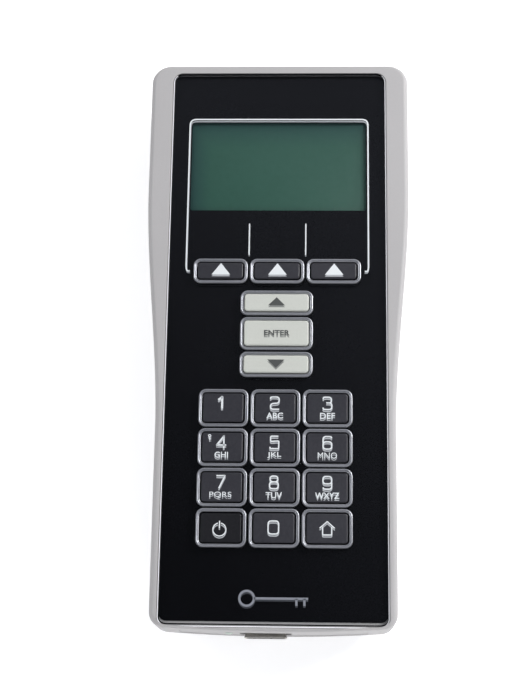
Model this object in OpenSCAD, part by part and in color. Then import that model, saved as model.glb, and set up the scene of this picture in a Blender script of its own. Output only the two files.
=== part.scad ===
// Handheld keypad terminal: a waisted two-shell case with a display, eighteen
// keys under a clear faceplate, a data socket in the end and four AA cells.
// +X is the user's right, +Y points at the head, +Z out of the display.
// The origin is midway along and across the object, on the surface it lies on.

/* [Case] */
// Width across the head
head_w = 91.4; // [86:0.2:112]
// Width across the grip
grip_w = 81.2; // [80.4:0.2:98]
// Length of the case without the data socket
body_l = 200.6; // [198:0.2:245]
// Thickness of the case without its feet and keys
body_t = 31.8; // [31:0.2:40]
// Height of the rear shell
rear_h = 14; // [12:0.5:14.5]
// Wall of both shells
wall = 2.2; // [1.6:0.1:2.8]
// Floor of the rear shell
floor_t = 2; // [1.6:0.1:2.6]
// How far the rear rounding comes in from the sides
rear_round_x = 9; // [4:0.5:9]
// How far the rear rounding comes in from the ends
rear_round_y = 8; // [4:0.5:8]
// Radius of the front edge along the sides
edge_r = 1.8; // [1:0.1:2]
// Radius of the front edge at the two ends
end_edge_r = 0.8; // [0.5:0.1:1]
// Radius of the corners at the head
head_corner_r = 6.5; // [5:0.5:8]
// Radius of the corners at the socket end
end_corner_r = 5; // [5:0.5:6]
// How far the socket end bows out
end_bow = 1.2; // [0:0.1:1.2]
// Height of the lip that joins the shells
lip_h = 1.5; // [1:0.1:1.8]
// Thickness of that lip
lip_t = 0.9; // [0.6:0.1:1.1]

/* [Faceplate] */
// Width of the clear plate
plate_w = 75.8; // [75:0.1:76.4]
// Length of the clear plate
plate_l = 196; // [190:0.5:196]
// Thickness of the clear plate
plate_t = 1.8; // [1.2:0.1:2.2]
// Corner radius of the clear plate
plate_r = 3.4; // [3:0.1:4]
// Border of the case above the plate
border_head = 3.25; // [3:0.05:5]
// Clear edge left free of print at the head and the sides
clear_edge = 0.4; // [0.2:0.1:0.8]
// Clear edge left free of print at the socket end
clear_end = 2.1; // [0.4:0.1:2.5]
// Thickness of the printed film
film_t = 0.2; // [0.1:0.05:0.4]
// Thickness of the case under the film
seat_t = 2.2; // [1.8:0.1:2.8]

/* [Keys] */
// Width of a number key's collar
number_w = 16.7; // [14:0.1:16.9]
// Height of a number key's collar
number_h = 12.9; // [10:0.1:12.9]
// Sideways pitch of the number keys
number_dx = 17.5; // [17.2:0.1:18.4]
// Pitch of the number keys along the case
number_dy = 13.5; // [13.2:0.1:14]
// Width of a soft key's collar
soft_w = 18.7; // [16:0.1:18.9]
// Sideways pitch of the soft keys
soft_dx = 19.5; // [19.2:0.1:20]
// Width of the arrow and enter keys' collars
nav_w = 24.8; // [20:0.2:26]
// Height of the soft and arrow keys' collars
slim_h = 8.8; // [7:0.1:9.2]
// Height of the enter key's collar
enter_h = 11.6; // [10:0.1:12]
// Wall of a collar
collar_t = 1.1; // [0.8:0.1:1.3]
// Outer corner radius of a collar
collar_r = 2.5; // [2:0.1:3]
// How far the collars stand above the plate
collar_proud = 0.8; // [0.4:0.1:1.2]
// Gap between a key and its collar
key_gap = 0.35; // [0.25:0.05:0.5]
// Height of a dark key above the plate
dark_proud = 1; // [0.8:0.1:1.3]
// Height of a light key above the plate
light_proud = 1.4; // [0.8:0.1:1.6]
// Height of the power key above the plate
power_proud = 0.2; // [0:0.1:0.6]
// Travel of every key
key_travel = 0.8; // [0.4:0.1:1]
// Web that joins the collars
web_t = 1.2; // [1:0.1:1.4]

/* [Display] */
// Width of the window in the print
window_w = 61.6; // [50:0.2:64]
// Height of the window in the print
window_h = 33.2; // [26:0.2:34]
// Distance from the plate's middle to the window's middle
window_y = 62.2; // [59:0.2:62.4]
// Width of the display glass
glass_w = 66; // [64:0.5:68]
// Height of the display glass
glass_h = 38; // [36:0.5:40]
// Thickness of the display glass
glass_t = 1.9; // [1.4:0.1:2.2]

/* [Power] */
// Diameter of a cell
cell_d = 14.5; // [10.5:0.1:17.4]
// Length of a cell with its button
cell_l = 50.5; // [44.5:0.1:50.5]
// Thickness of the battery door
door_t = 1.8; // [1.4:0.1:2.2]

/* [Data socket] */
// Width of the metal socket
socket_w = 13.2; // [8:0.1:13.6]
// Height of the metal socket
socket_h = 5.7; // [3:0.1:5.8]
// Length of the metal socket
socket_l = 14; // [10:0.5:16]
// How far it stands out of the case
socket_proud = 1.5; // [1:0.1:2.5]
// Distance of the socket from the case's middle
socket_x = -2.5; // [-8:0.5:8]

/* [Hidden] */
$fn = 48;
eps = 0.01;            // what a cut runs past a face
fit = 0.12;            // clearance of a seated piece, each side
slack = 0.05;          // clearance of faces that almost touch
past = 1;              // what a cutter runs past a part

// Lengthwise places
top_y = (body_l + socket_proud) / 2;
end_y = top_y - body_l;
plate_y = top_y - border_head - plate_l / 2;
print_y = plate_y + (clear_end - clear_edge) / 2;
print_w = plate_w - 2 * clear_edge;
print_l = plate_l - clear_edge - clear_end;
print_r = plate_r - 2 * clear_edge;
waist_low_y = print_y - 33;
waist_high_y = print_y + 53;

// Heights, from the surface up
foot_h = 0.8;
part_z = foot_h + rear_h;
top_z = foot_h + body_t;
seat_z = top_z - plate_t - film_t;
under_z = seat_z - seat_t;
web_z = seat_z - web_t;
flange_t = 0.95;
flange_z = web_z - slack - flange_t;
dome_h = 2.75;
mat_t = 1.2;
mat_z = flange_z - slack - dome_h - mat_t;
board_t = 1.6;
board_z = mat_z - board_t;
gasket_t = 0.6;
bezel_t = 0.3;
backlight_t = 1.5;
lcd_board_t = 1;
bezel_top_z = seat_z - gasket_t;
glass_z = bezel_top_z - bezel_t - glass_t;
backlight_z = glass_z - backlight_t;
lcd_board_z = backlight_z - lcd_board_t;

// Key table: name, place from the print's middle, collar size, height above the plate
SOFT_Y = 22.5;
NAV_Y = [11, 0.1, -10.8];
NUMBER_Y = -26;
function number_key(name, col, row, proud) =
    [name, [col * number_dx, NUMBER_Y - row * number_dy], [number_w, number_h], proud];
KEYS = [
    for (i = [-1:1]) [["key_soft_left", "key_soft_middle", "key_soft_right"][i + 1],
        [i * soft_dx, SOFT_Y], [soft_w, slim_h], dark_proud],
    ["key_up", [0, NAV_Y[0]], [nav_w, slim_h], light_proud],
    ["key_enter", [0, NAV_Y[1]], [nav_w, enter_h], light_proud],
    ["key_down", [0, NAV_Y[2]], [nav_w, slim_h], light_proud],
    for (n = [1:9]) number_key(str("key_", n), (n - 1) % 3 - 1, floor((n - 1) / 3), dark_proud),
    number_key("key_power", -1, 3, power_proud),
    number_key("key_0", 0, 3, dark_proud),
    number_key("key_home", 1, 3, dark_proud)];
web_low = NUMBER_Y - 3 * number_dy - number_h / 2 - 2.4;
web_high = SOFT_Y + slim_h / 2 + 2.4;
web_l = web_high - web_low;
web_mid = (web_high + web_low) / 2;
web_w = 2 * soft_dx + soft_w + 4.6;
web_ledge = 1.2;

// Battery bay
cell_gap = 0.3;
bay_w = 2 * cell_d + 3 * cell_gap;
bay_wall = 1.6;
contact_t = 0.4;
spring_l = 4.5;
bay_low_y = end_y - socket_proud + socket_l + bay_wall + 0.6;
bay_l = 2 * cell_l + spring_l + 2 * contact_t + 4 * slack;
bay_high_y = bay_low_y + bay_l;
door_top_z = foot_h + door_t;
cell_z = door_top_z + cell_gap + cell_d / 2;
bay_top_z = cell_z + cell_d / 2 + cell_gap;
door_w = bay_w + 6.4;
rail_w = 1.5;
rail_h = 0.9;
door_high_y = bay_high_y + 2;
tray_t = 1.6;

// Screws, bosses and feet, in the case's own places
case_screw_places = [for (s = [-1, 1]) each
    [[s * 33, top_y - 12], [s * 27.5, end_y + 17.5]]];
board_screw_places = [for (s = [-1, 1]) each
    [[s * 33.7, print_y + 32], [s * 33.7, print_y - 70]]];
foot_places = [for (s = [-1, 1]) each [[s * 27, top_y - 28], [s * 27, end_y + 34]]];
screw_r = 1.3;
screw_seat_z = foot_h + 3;
screw_l = 14;
head_r = 2.5;
head_h = 1.7;
boss_r = 3.2;
pillar_r = 3.6;
board_boss_r = 2;
board_screw_r = 0.9;
board_screw_l = 5;
board_head_r = 1.8;
board_head_h = 1.3;
foot_r = 4;
foot_recess = 0.8;

// Socket end
socket_t = 0.35;
socket_z = board_z - 0.2;
end_window_w = 62;
end_window_high = under_z - 1.2;
end_window_h = 9.8;
panel_recess = 0.4;
panel_flange = 0.9;
panel_flange_t = 1;
mouth_w = 17;
mouth_h = 7.6;
light_x = -14.5;
light_z = end_window_high - 2.2;
light_r = 1.2;
light_l = 5;
board_w = 72;
board_high_y = top_y - 6;
board_low_y = end_y + end_bow + wall + panel_flange_t + 0.6;
board_step_y = end_y + 9.6;
tongue_w = 54;

// Keys, mat and display board
flange_out = 0.9;
dome_low_r = 3.4;
dome_top_r = 2;
dome_wall = 0.6;
mat_inset = 2;
glass_room = 1.3;
window_room = 0.8;
bezel_side = 1;
gasket_side = 0.7;
lcd_board_w = glass_w + 4;
lcd_board_l = glass_h + 7;
HEADER_PINS = 20;
header_pitch = 2.54;
header_y = window_y + lcd_board_l / 2 - 2;
header_strip_h = 0.5;
pin_w = 0.64;

// Board: its clearances and chips
board_gap = 0.4;
LIGHT_CHIP = [2, 1.6];
light_chip_h = 0.9;
// Each chip: place from the print's middle, size, height
CHIPS = [[[-8, 62], [14, 14], 1.6], [[14, 66], [10, 8], 1.4], [[16, 50], [8, 6], 1.4],
    [[-22, 44], [6, 5], 1.5], [[-24, 70], [5, 3.4], 1.2], [[2, 40], [5, 3.2], 2]];

// Socket, screws, cells and springs
tongue_t = 1.8;
insert_t = 2;
screw_play = 0.3;
head_play = 0.4;
end_reach = 9;         // how far a cutter reaches to both sides of the socket end
cell_button_l = 1.3;
cell_button_r = 2.75;
contact_w = 10;
column_x = (cell_d + cell_gap) / 2;
WIRE_SIDES = 6;
TURN_STEPS = 14;
spring_turns = 3.5;
wire_r = 0.35;
spring_low_r = 4.2;
spring_high_r = 2.4;

// Door
tray_side = 2;
GROOVES = 6;
groove_start = 3;
groove_pitch = 2.2;
GROOVE_SIZE = [16, 1, 0.8];

// Steps of the rounded back and of the front edge, in degrees
REAR_ANGLES = [0, 12, 25, 40, 56, 73, 90];
EDGE_ANGLES = [0, 30, 60, 90];

// The case outline seen from the front, inset by ix at the sides and iy at the ends
function clamp01(t) = min(max(t, 0), 1);
function smooth(t) = t * t * (3 - 2 * t);
function half_w(y) = (grip_w + (head_w - grip_w)
    * smooth(clamp01((y - waist_low_y) / (waist_high_y - waist_low_y)))) / 2;
function corner(r, inset) = max(r - inset, 4);
function right_side(ix, iy) = let (
    re = corner(end_corner_r, min(ix, iy)), rh = corner(head_corner_r, min(ix, iy)),
    ce = [grip_w / 2 - ix - re, end_y + iy + end_bow + re],
    ch = [head_w / 2 - ix - rh, top_y - iy - rh]) [
    for (i = [0:3]) [ce.x * i / 4, end_y + iy + end_bow * (i / 4) * (i / 4)],
    for (a = [-86:17.2:0]) [ce.x + re * cos(a), ce.y + re * sin(a)],
    for (i = [0:10]) let (y = waist_low_y + (waist_high_y - waist_low_y) * i / 10)
        [half_w(y) - ix, y],
    for (a = [0:15:90]) [ch.x + rh * cos(a), ch.y + rh * sin(a)]];
function outline(ix, iy) = let (right = right_side(ix, iy), n = len(right)) concat(
    right, [for (i = [n - 1:-1:1]) [-right[i].x, right[i].y]]);

module case_block(ix, iy, z0, z1)
    translate([0, 0, z0]) linear_extrude(z1 - z0) polygon(outline(ix, iy));

// Solid through a stack of levels, each [height, side inset, end inset]
module loft(levels) {
    rings = [for (v = levels) [for (p = outline(v[1], v[2])) [p.x, p.y, v[0]]]];
    n = len(rings[0]);
    m = len(rings);
    polyhedron(
        points = [for (r = rings) each r],
        faces = concat(
            [[for (i = [0:n - 1]) i]],
            [for (j = [0:m - 2], i = [0:n - 1]) each let (k = (i + 1) % n)
                [[j * n + i, (j + 1) * n + i, j * n + k],
                [j * n + k, (j + 1) * n + i, (j + 1) * n + k]]],
            [[for (i = [n - 1:-1:0]) (m - 1) * n + i]]),
        convexity = 6);
}
rear_levels = [for (a = REAR_ANGLES) [foot_h + rear_h * (1 - cos(a)),
    rear_round_x * (1 - sin(a)), rear_round_y * (1 - sin(a))]];
rear_inner_levels = [for (a = REAR_ANGLES) [
    foot_h + floor_t + (rear_h - floor_t + eps) * (1 - cos(a)),
    wall + rear_round_x * (1 - sin(a)), wall + rear_round_y * (1 - sin(a))]];
front_levels = concat([[part_z, 0, 0]], [for (a = EDGE_ANGLES) [
    top_z - edge_r * (1 - sin(a)), edge_r * (1 - cos(a)), end_edge_r * (1 - cos(a))]]);

// Rounded rectangle about the origin
module rounded(w, l, r) {
    square([w, l - 2 * r], center = true);
    square([w - 2 * r, l], center = true);
    for (x = [-1, 1], y = [-1, 1]) translate([x * (w / 2 - r), y * (l / 2 - r)]) circle(r);
}
module slab(size, r, z0, z1) translate([0, 0, z0]) linear_extrude(z1 - z0) rounded(size.x, size.y, r);
module box_at(x0, x1, y0, y1, z0, z1) translate([x0, y0, z0]) cube([x1 - x0, y1 - y0, z1 - z0]);
module on_print() translate([0, print_y, 0]) children();
module at_each(places) for (p = places) translate([p.x, p.y, 0]) children();
module key_holes(margin, z0, z1) for (k = KEYS) on_print() translate(k[1])
    slab(k[2] + 2 * [margin, margin], collar_r + margin, z0, z1);

// Shells
module front_body() {
    difference() {
        loft(front_levels);
        case_block(wall, wall, part_z - eps, under_z);
        case_block(wall - lip_t - fit, wall - lip_t - fit, part_z - eps, part_z + lip_h + fit);
    }
    at_each(case_screw_places) translate([0, 0, part_z]) cylinder(seat_z - part_z, r = boss_r);
    at_each(board_screw_places) translate([0, 0, board_z + board_t])
        cylinder(under_z - board_z - board_t + eps, r = board_boss_r);
}
module front_shell() color([0.72, 0.72, 0.73]) difference() {
    front_body();
    translate([0, plate_y, 0])
        slab([plate_w, plate_l] + 2 * [fit, fit], plate_r + fit, seat_z, top_z + past);
    on_print() translate([0, window_y])
        slab([glass_w, glass_h] + 2 * glass_room * [1, 1], 1, under_z - eps, seat_z + past);
    on_print() translate([0, web_mid]) {
        slab([web_w, web_l] + 2 * [fit, fit], 3, web_z, seat_z + past);
        slab([web_w, web_l] - 2 * [web_ledge, web_ledge], 2, under_z - eps, seat_z);
    }
    end_window(fit, -past, wall + past);
    at_each(case_screw_places) translate([0, 0, part_z - eps])
        cylinder(screw_seat_z + screw_l + past - part_z, r = screw_r + slack);
    at_each(board_screw_places) translate([0, 0, board_z])
        cylinder(board_screw_l + board_gap, r = board_screw_r + slack);
}
module end_window(gap, depth0, depth1) intersection() {
    difference() {
        case_block(depth0, depth0, part_z, under_z);
        case_block(depth1, depth1, part_z - past, under_z + past);
    }
    box_at(-end_window_w / 2 - gap, end_window_w / 2 + gap, end_y - end_reach, end_y + end_reach,
        end_window_high - end_window_h - gap, end_window_high + gap);
}
module bay_block() box_at(-bay_w / 2 - bay_wall, bay_w / 2 + bay_wall,
    bay_low_y - bay_wall, bay_high_y + bay_wall, foot_h, bay_top_z + bay_wall);
module door_run(gap, y0, y1) {
    box_at(-door_w / 2 - gap, door_w / 2 + gap, y0, y1, foot_h - past, door_top_z + gap);
    box_at(-door_w / 2 - rail_w - gap, door_w / 2 + rail_w + gap, y0, y1,
        door_top_z - rail_h - gap, door_top_z + gap);
}
module rear_body() {
    difference() {
        loft(rear_levels);
        loft(rear_inner_levels);
    }
    intersection() {
        loft(rear_levels);
        union() {
            at_each(case_screw_places) cylinder(part_z, r = pillar_r);
            box_at(-door_w / 2 - rail_w - tray_side, door_w / 2 + rail_w + tray_side, end_y,
                door_high_y + tray_side, 0, door_top_z + tray_t);
        }
    }
    difference() {
        case_block(wall - lip_t, wall - lip_t, part_z - eps, part_z + lip_h);
        case_block(wall, wall, part_z - past, part_z + lip_h + past);
    }
    bay_block();
}
module rear_shell() color([0.7, 0.7, 0.71]) difference() {
    rear_body();
    box_at(-bay_w / 2, bay_w / 2, bay_low_y, bay_high_y, 0, bay_top_z);
    door_run(fit, end_y - end_reach, door_high_y + fit);
    at_each(case_screw_places) {
        cylinder(part_z + past, r = screw_r + screw_play);
        cylinder(screw_seat_z, r = head_r + head_play);
    }
    at_each(foot_places) cylinder(foot_h + foot_recess, r = foot_r + fit);
}
module battery_door() color([0.68, 0.68, 0.69]) difference() {
    intersection() {
        loft(rear_levels);
        door_run(0, end_y - end_reach, door_high_y);
    }
    for (i = [0:GROOVES - 1]) translate([0, bay_low_y + groove_start + i * groove_pitch, foot_h])
        cube(GROOVE_SIZE, center = true);
}
module feet() color([0.16, 0.16, 0.17]) at_each(foot_places)
    cylinder(foot_h + foot_recess, r = foot_r);

// Faceplate, its print and the collars
module faceplate() color([0.55, 0.6, 0.62, 0.35]) difference() {
    translate([0, plate_y, 0]) slab([plate_w, plate_l], plate_r, seat_z + film_t, top_z);
    key_holes(fit, seat_z, top_z + past);
}
module mask_film() color([0.05, 0.05, 0.06]) difference() {
    on_print() slab([print_w, print_l], print_r, seat_z, seat_z + film_t);
    on_print() translate([0, window_y]) slab([window_w, window_h], 0.8, seat_z - past, top_z);
    key_holes(fit, seat_z - past, top_z);
}
module key_surround() color([0.62, 0.63, 0.66]) difference() {
    union() {
        on_print() translate([0, web_mid]) slab([web_w, web_l], 3 - fit, web_z, seat_z);
        key_holes(0, web_z, top_z + collar_proud);
    }
    for (k = KEYS) on_print() translate(k[1]) slab(k[2] - 2 * [collar_t, collar_t],
        collar_r - collar_t, web_z - past, top_z + collar_proud + past);
}
module keycap(k) {
    face = k[2] - 2 * (collar_t + key_gap) * [1, 1];
    on_print() translate(k[1]) {
        slab(face, collar_r - collar_t - key_gap, flange_z, top_z + k[3]);
        slab(face + 2 * flange_out * [1, 1], collar_r - collar_t - key_gap + flange_out,
            flange_z, flange_z + flange_t);
    }
}
module keymat_sheet() color([0.35, 0.36, 0.38]) on_print() translate([0, web_mid])
    slab([web_w, web_l] - 2 * mat_inset * [1, 1], 2, mat_z, mat_z + mat_t);
module keymat_domes() color([0.4, 0.41, 0.44]) for (k = KEYS) on_print()
    translate([k[1].x, k[1].y, mat_z + mat_t]) difference() {
        cylinder(dome_h, dome_low_r, dome_top_r);
        translate([0, 0, -eps])
            cylinder(dome_h - dome_wall, dome_low_r - dome_wall, dome_top_r - dome_wall);
    }

// Display
module at_window() on_print() translate([0, window_y]) children();
module lcd_glass() color([0.3, 0.42, 0.36]) at_window()
    slab([glass_w, glass_h], 0.4, glass_z, glass_z + glass_t);
module lcd_backlight() color([0.85, 0.87, 0.8]) at_window()
    slab([glass_w, glass_h] - [1, 1], 0.4, backlight_z, backlight_z + backlight_t);
module lcd_bezel() color([0.3, 0.31, 0.32]) at_window() difference() {
    slab([glass_w, glass_h] + 2 * bezel_side * [1, 1], 0.8, backlight_z, bezel_top_z);
    slab([glass_w, glass_h] + 2 * slack * [1, 1], 0.4 + slack, backlight_z - past, glass_z + glass_t);
    slab([window_w, window_h] + 2 * window_room * [1, 1], 0.6, glass_z, bezel_top_z + past);
}
module lcd_gasket() color([0.1, 0.1, 0.1]) at_window() difference() {
    slab([glass_w, glass_h] + 2 * gasket_side * [1, 1], 0.6, bezel_top_z, seat_z);
    slab([window_w, window_h] + 2 * window_room * [1, 1], 0.6, bezel_top_z - past, seat_z + past);
}
module lcd_board() color([0.1, 0.35, 0.2]) at_window()
    slab([lcd_board_w, lcd_board_l], 0.5, lcd_board_z, lcd_board_z + lcd_board_t);
module lcd_header() color([0.12, 0.12, 0.12]) on_print() {
    translate([0, header_y, 0]) slab([HEADER_PINS * header_pitch, header_pitch], 0.2,
        board_z + board_t, board_z + board_t + header_strip_h);
    for (i = [0:HEADER_PINS - 1]) translate([(i - (HEADER_PINS - 1) / 2) * header_pitch, header_y, 0])
        slab(pin_w * [1, 1], 0.1, board_z + board_t, lcd_board_z);
}

// Electronics
module main_board() color([0.08, 0.33, 0.18]) difference() {
    union() {
        box_at(-board_w / 2, board_w / 2, board_step_y, board_high_y, board_z, board_z + board_t);
        box_at(-tongue_w / 2, tongue_w / 2, board_low_y, board_step_y + past, board_z, board_z + board_t);
    }
    box_at(socket_x - socket_w / 2 - board_gap, socket_x + socket_w / 2 + board_gap, board_low_y - past,
        end_y - socket_proud + socket_l + board_gap, board_z - past, board_z + board_t + past);
    box_at(light_x - light_r - board_gap, light_x + light_r + board_gap, board_low_y - past,
        end_y + panel_recess + light_l + board_gap, board_z - past, board_z + board_t + past);
    at_each(case_screw_places) translate([0, 0, board_z - past])
        cylinder(board_t + 2 * past, r = boss_r + board_gap);
    at_each(board_screw_places) translate([0, 0, board_z - past])
        cylinder(board_t + 2 * past, r = board_screw_r + fit);
}
module board_chips() color([0.1, 0.1, 0.11]) {
    for (c = CHIPS) on_print() translate(c[0]) slab(c[1], 0.2, board_z - c[2], board_z);
    translate([light_x, end_y + panel_recess + light_l + LIGHT_CHIP.x, 0])
        slab(LIGHT_CHIP, 0.2, board_z + board_t, board_z + board_t + light_chip_h);
}
module end_panel() color([0.66, 0.66, 0.67]) difference() {
    union() {
        end_window(0, panel_recess, wall + slack);
        intersection() {
            difference() {
                case_block(wall + slack, wall + slack, part_z, under_z);
                case_block(wall + slack + panel_flange_t, wall + slack + panel_flange_t,
                    part_z - past, under_z + past);
            }
            box_at(-end_window_w / 2 - panel_flange, end_window_w / 2 + panel_flange,
                end_y - end_reach, end_y + end_reach, end_window_high - end_window_h - panel_flange + fit,
                end_window_high + panel_flange);
        }
    }
    translate([socket_x, end_y, socket_z]) rotate([90, 0, 0])
        translate([0, 0, -end_reach]) linear_extrude(2 * end_reach) rounded(mouth_w, mouth_h, 1);
    translate([light_x, end_y - past, light_z]) rotate([-90, 0, 0])
        cylinder(end_reach, r = light_r + slack);
}
module status_light() color([0.8, 0.85, 0.8]) translate([light_x, end_y + panel_recess - 0.3, light_z])
    rotate([-90, 0, 0]) cylinder(light_l, r = light_r);
module socket_block(t, y0, y1) box_at(socket_x - socket_w / 2 + t, socket_x + socket_w / 2 - t,
    y0, y1, socket_z - socket_h / 2 + t, socket_z + socket_h / 2 - t);
module socket_shell() color([0.75, 0.75, 0.76]) difference() {
    socket_block(0, end_y - socket_proud, end_y - socket_proud + socket_l);
    socket_block(socket_t, end_y - socket_proud - past, end_y - socket_proud + socket_l - socket_t);
}
module socket_insert() color([0.1, 0.1, 0.1]) {
    back_y = end_y - socket_proud + socket_l - socket_t - slack;
    socket_block(socket_t + slack, back_y - insert_t, back_y);
    intersection() {
        socket_block(socket_t + slack, end_y - socket_proud + 1, back_y);
        box_at(socket_x - socket_w / 2 + 1, socket_x + socket_w / 2 - 1, end_y - socket_proud, back_y,
            socket_z + socket_h / 2 - socket_t - slack - tongue_t, socket_z + socket_h / 2);
    }
}

// Fasteners
module screw(r, l, hr, hh) difference() {
    union() {
        cylinder(l, r = r);
        translate([0, 0, -hh]) cylinder(hh, r = hr);
    }
    for (a = [0, 90]) rotate(a) translate([0, 0, -hh])
        cube([hr * 1.2, hr * 0.25, hh], center = true);
}
module case_screws() color([0.6, 0.6, 0.62]) at_each(case_screw_places)
    translate([0, 0, screw_seat_z]) screw(screw_r, screw_l, head_r, head_h);
module board_screws() color([0.6, 0.6, 0.62]) at_each(board_screw_places)
    translate([0, 0, board_z]) screw(board_screw_r, board_screw_l, board_head_r, board_head_h);

// Cells and contacts; the left column's buttons face the head, the right column's the end
module cell() rotate([-90, 0, 0]) {
    cylinder(cell_l - cell_button_l - slack, r = cell_d / 2 - 0.1);
    cylinder(cell_l - slack, r = cell_button_r);
}
module in_columns() for (s = [-1, 1]) translate([s * column_x, (bay_low_y + bay_high_y) / 2, cell_z])
    rotate(s < 0 ? 0 : 180) translate([0, -bay_l / 2, 0]) children();
module battery_cells() color([0.2, 0.2, 0.22]) in_columns() for (i = [0, 1])
    translate([0, contact_t + spring_l + 2 * slack + i * cell_l, 0]) cell();
module contact() translate([0, contact_t / 2, 0]) cube([contact_w, contact_t - slack, contact_w], center = true);
module battery_contacts() color([0.75, 0.73, 0.68]) in_columns() {
    contact();
    translate([0, bay_l - contact_t, 0]) contact();
}
function spring_ring(t) = let (
    a = 360 * spring_turns * t, r = spring_low_r + (spring_high_r - spring_low_r) * t,
    y = wire_r + slack + (spring_l - 2 * wire_r - slack) * t)
    [for (j = [0:WIRE_SIDES - 1]) let (b = 360 * j / WIRE_SIDES)
        [(r + wire_r * cos(b)) * cos(a), y + wire_r * sin(b), (r + wire_r * cos(b)) * sin(a)]];
module spring() {
    steps = floor(spring_turns * TURN_STEPS);
    n = WIRE_SIDES;
    polyhedron(
        points = [for (i = [0:steps]) each spring_ring(i / steps)],
        faces = concat(
            [[for (j = [n - 1:-1:0]) j]],
            [for (i = [0:steps - 1], j = [0:n - 1]) each let (k = (j + 1) % n)
                [[i * n + j, i * n + k, (i + 1) * n + j],
                [i * n + k, (i + 1) * n + k, (i + 1) * n + j]]],
            [[for (j = [0:n - 1]) steps * n + j]]));
}
module battery_springs() color([0.78, 0.78, 0.78]) in_columns()
    translate([0, contact_t, 0]) spring();

front_shell();
rear_shell();
faceplate();
mask_film();
key_surround();
end_panel();
socket_shell();
socket_insert();
status_light();
lcd_bezel();
lcd_glass();
lcd_backlight();
lcd_board();
lcd_header();
lcd_gasket();
main_board();
board_chips();
keymat_sheet();
keymat_domes();
case_screws();
board_screws();
battery_cells();
battery_contacts();
battery_springs();
feet();
battery_door();
for (k = KEYS) color(k[3] == light_proud ? [0.8, 0.8, 0.78] : [0.22, 0.22, 0.24]) keycap(k);
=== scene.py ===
import bmesh
import bpy
from math import cos, pi, radians, sin
from mathutils import Matrix, Vector
from mathutils.geometry import delaunay_2d_cdt


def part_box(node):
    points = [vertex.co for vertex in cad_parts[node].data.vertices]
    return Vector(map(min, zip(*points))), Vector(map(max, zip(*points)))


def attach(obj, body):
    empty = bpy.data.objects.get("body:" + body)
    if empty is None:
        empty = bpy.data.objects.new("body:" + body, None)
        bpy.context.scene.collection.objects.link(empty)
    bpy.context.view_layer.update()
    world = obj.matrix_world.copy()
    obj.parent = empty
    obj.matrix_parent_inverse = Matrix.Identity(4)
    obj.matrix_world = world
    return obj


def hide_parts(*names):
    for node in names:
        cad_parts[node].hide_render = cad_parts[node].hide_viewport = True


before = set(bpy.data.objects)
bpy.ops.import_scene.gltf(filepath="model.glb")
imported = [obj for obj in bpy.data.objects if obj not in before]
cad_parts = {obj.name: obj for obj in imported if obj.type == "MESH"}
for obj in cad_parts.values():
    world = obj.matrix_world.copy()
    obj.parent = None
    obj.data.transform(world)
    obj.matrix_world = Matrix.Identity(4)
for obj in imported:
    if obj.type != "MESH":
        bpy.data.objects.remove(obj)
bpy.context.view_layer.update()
scene = bpy.context.scene
mm = 0.001                                        # every size below is in millimetres


def boxOf(name):
    low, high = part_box(name)
    return low / mm, high / mm


frontLow, frontHigh = boxOf("front_shell")
rearLow, rearHigh = boxOf("rear_shell")
plateLow, plateHigh = boxOf("faceplate")
filmLow, filmHigh = boxOf("mask_film")
surroundLow, surroundHigh = boxOf("key_surround")
doorLow, doorHigh = boxOf("battery_door")
socketLow, socketHigh = boxOf("socket_shell")
topZ = frontHigh.z                                # face of the case and of the clear plate
partZ = frontLow.z                                # where the two shells meet
baseZ = rearLow.z                                 # underside of the case, above its feet
printY = (filmLow.y + filmHigh.y) / 2             # middle of the printed film

# Camera, light and floor

view = {
    "from": (13.2, -141.8, 491.2),                # place of the lens from the middle of the print
    "right": (0.9994, 0.0144, -0.0323),
    "up": (-0.0052, 0.9636, 0.2673),
    "lens": 77.14,
}
light = {
    "sky": [                                      # brightness from the horizon up to the zenith
        (0.0, 1.0), (0.12, 0.42), (0.6, 0.27), (0.88, 0.2), (0.955, 0.1), (1.0, 0.045),
    ],
    "skyTint": (0.78, 0.83, 1.0),                 # of the upper sky, which the clear plate mirrors
    "skyLean": (-0.35, -0.15, 0.0),               # the dark middle of the sky leans this way
    "glow": 0.42,                                 # the floor's own light
    "floor": (0.93, 0.93, 0.93),
    "lamps": [                                    # place, watts, size in metres, seen in mirrors
        ((0.72, 0.42, 0.62), 10.8, 0.5, True),
        ((-0.8, 0.1, 0.6), 4.0, 0.8, False),
        ((0.05, -0.85, 0.5), 4.2, 0.8, False),
        ((0.1, 0.95, 0.55), 1.8, 0.8, False),
    ],
}


def node(tree, kind, values=None, **settings):
    made = tree.nodes.new(kind)
    for key, value in settings.items():
        setattr(made, key, value)
    for key, value in (values or {}).items():
        if isinstance(value, bpy.types.NodeSocket):
            tree.links.new(value, made.inputs[key])
        else:
            made.inputs[key].default_value = value
    return made


def maths(tree, operation, a, b=0.0, c=0.0):
    return node(tree, "ShaderNodeMath", {0: a, 1: b, 2: c}, operation=operation).outputs[0]


def ramp(tree, value, stops):
    made = node(tree, "ShaderNodeValToRGB", {"Fac": value})
    steps = made.color_ramp.elements
    steps.remove(steps[1])
    for i, (place, colour) in enumerate(stops):
        step = steps.new(place) if i else steps[0]
        step.position = place
        step.color = (*colour, 1.0)
    return made.outputs["Color"]


def setCamera():
    lens = bpy.data.cameras.new("camera")
    lens.lens = view["lens"]
    lens.clip_start = 0.01
    camera = bpy.data.objects.new("camera", lens)
    scene.collection.objects.link(camera)
    right, up = Vector(view["right"]), Vector(view["up"])
    turn = Matrix((right, up, right.cross(up))).transposed().to_4x4()
    place = (Vector((0, printY, topZ)) + Vector(view["from"])) * mm
    camera.matrix_world = Matrix.Translation(place) @ turn
    scene.camera = camera


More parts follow.
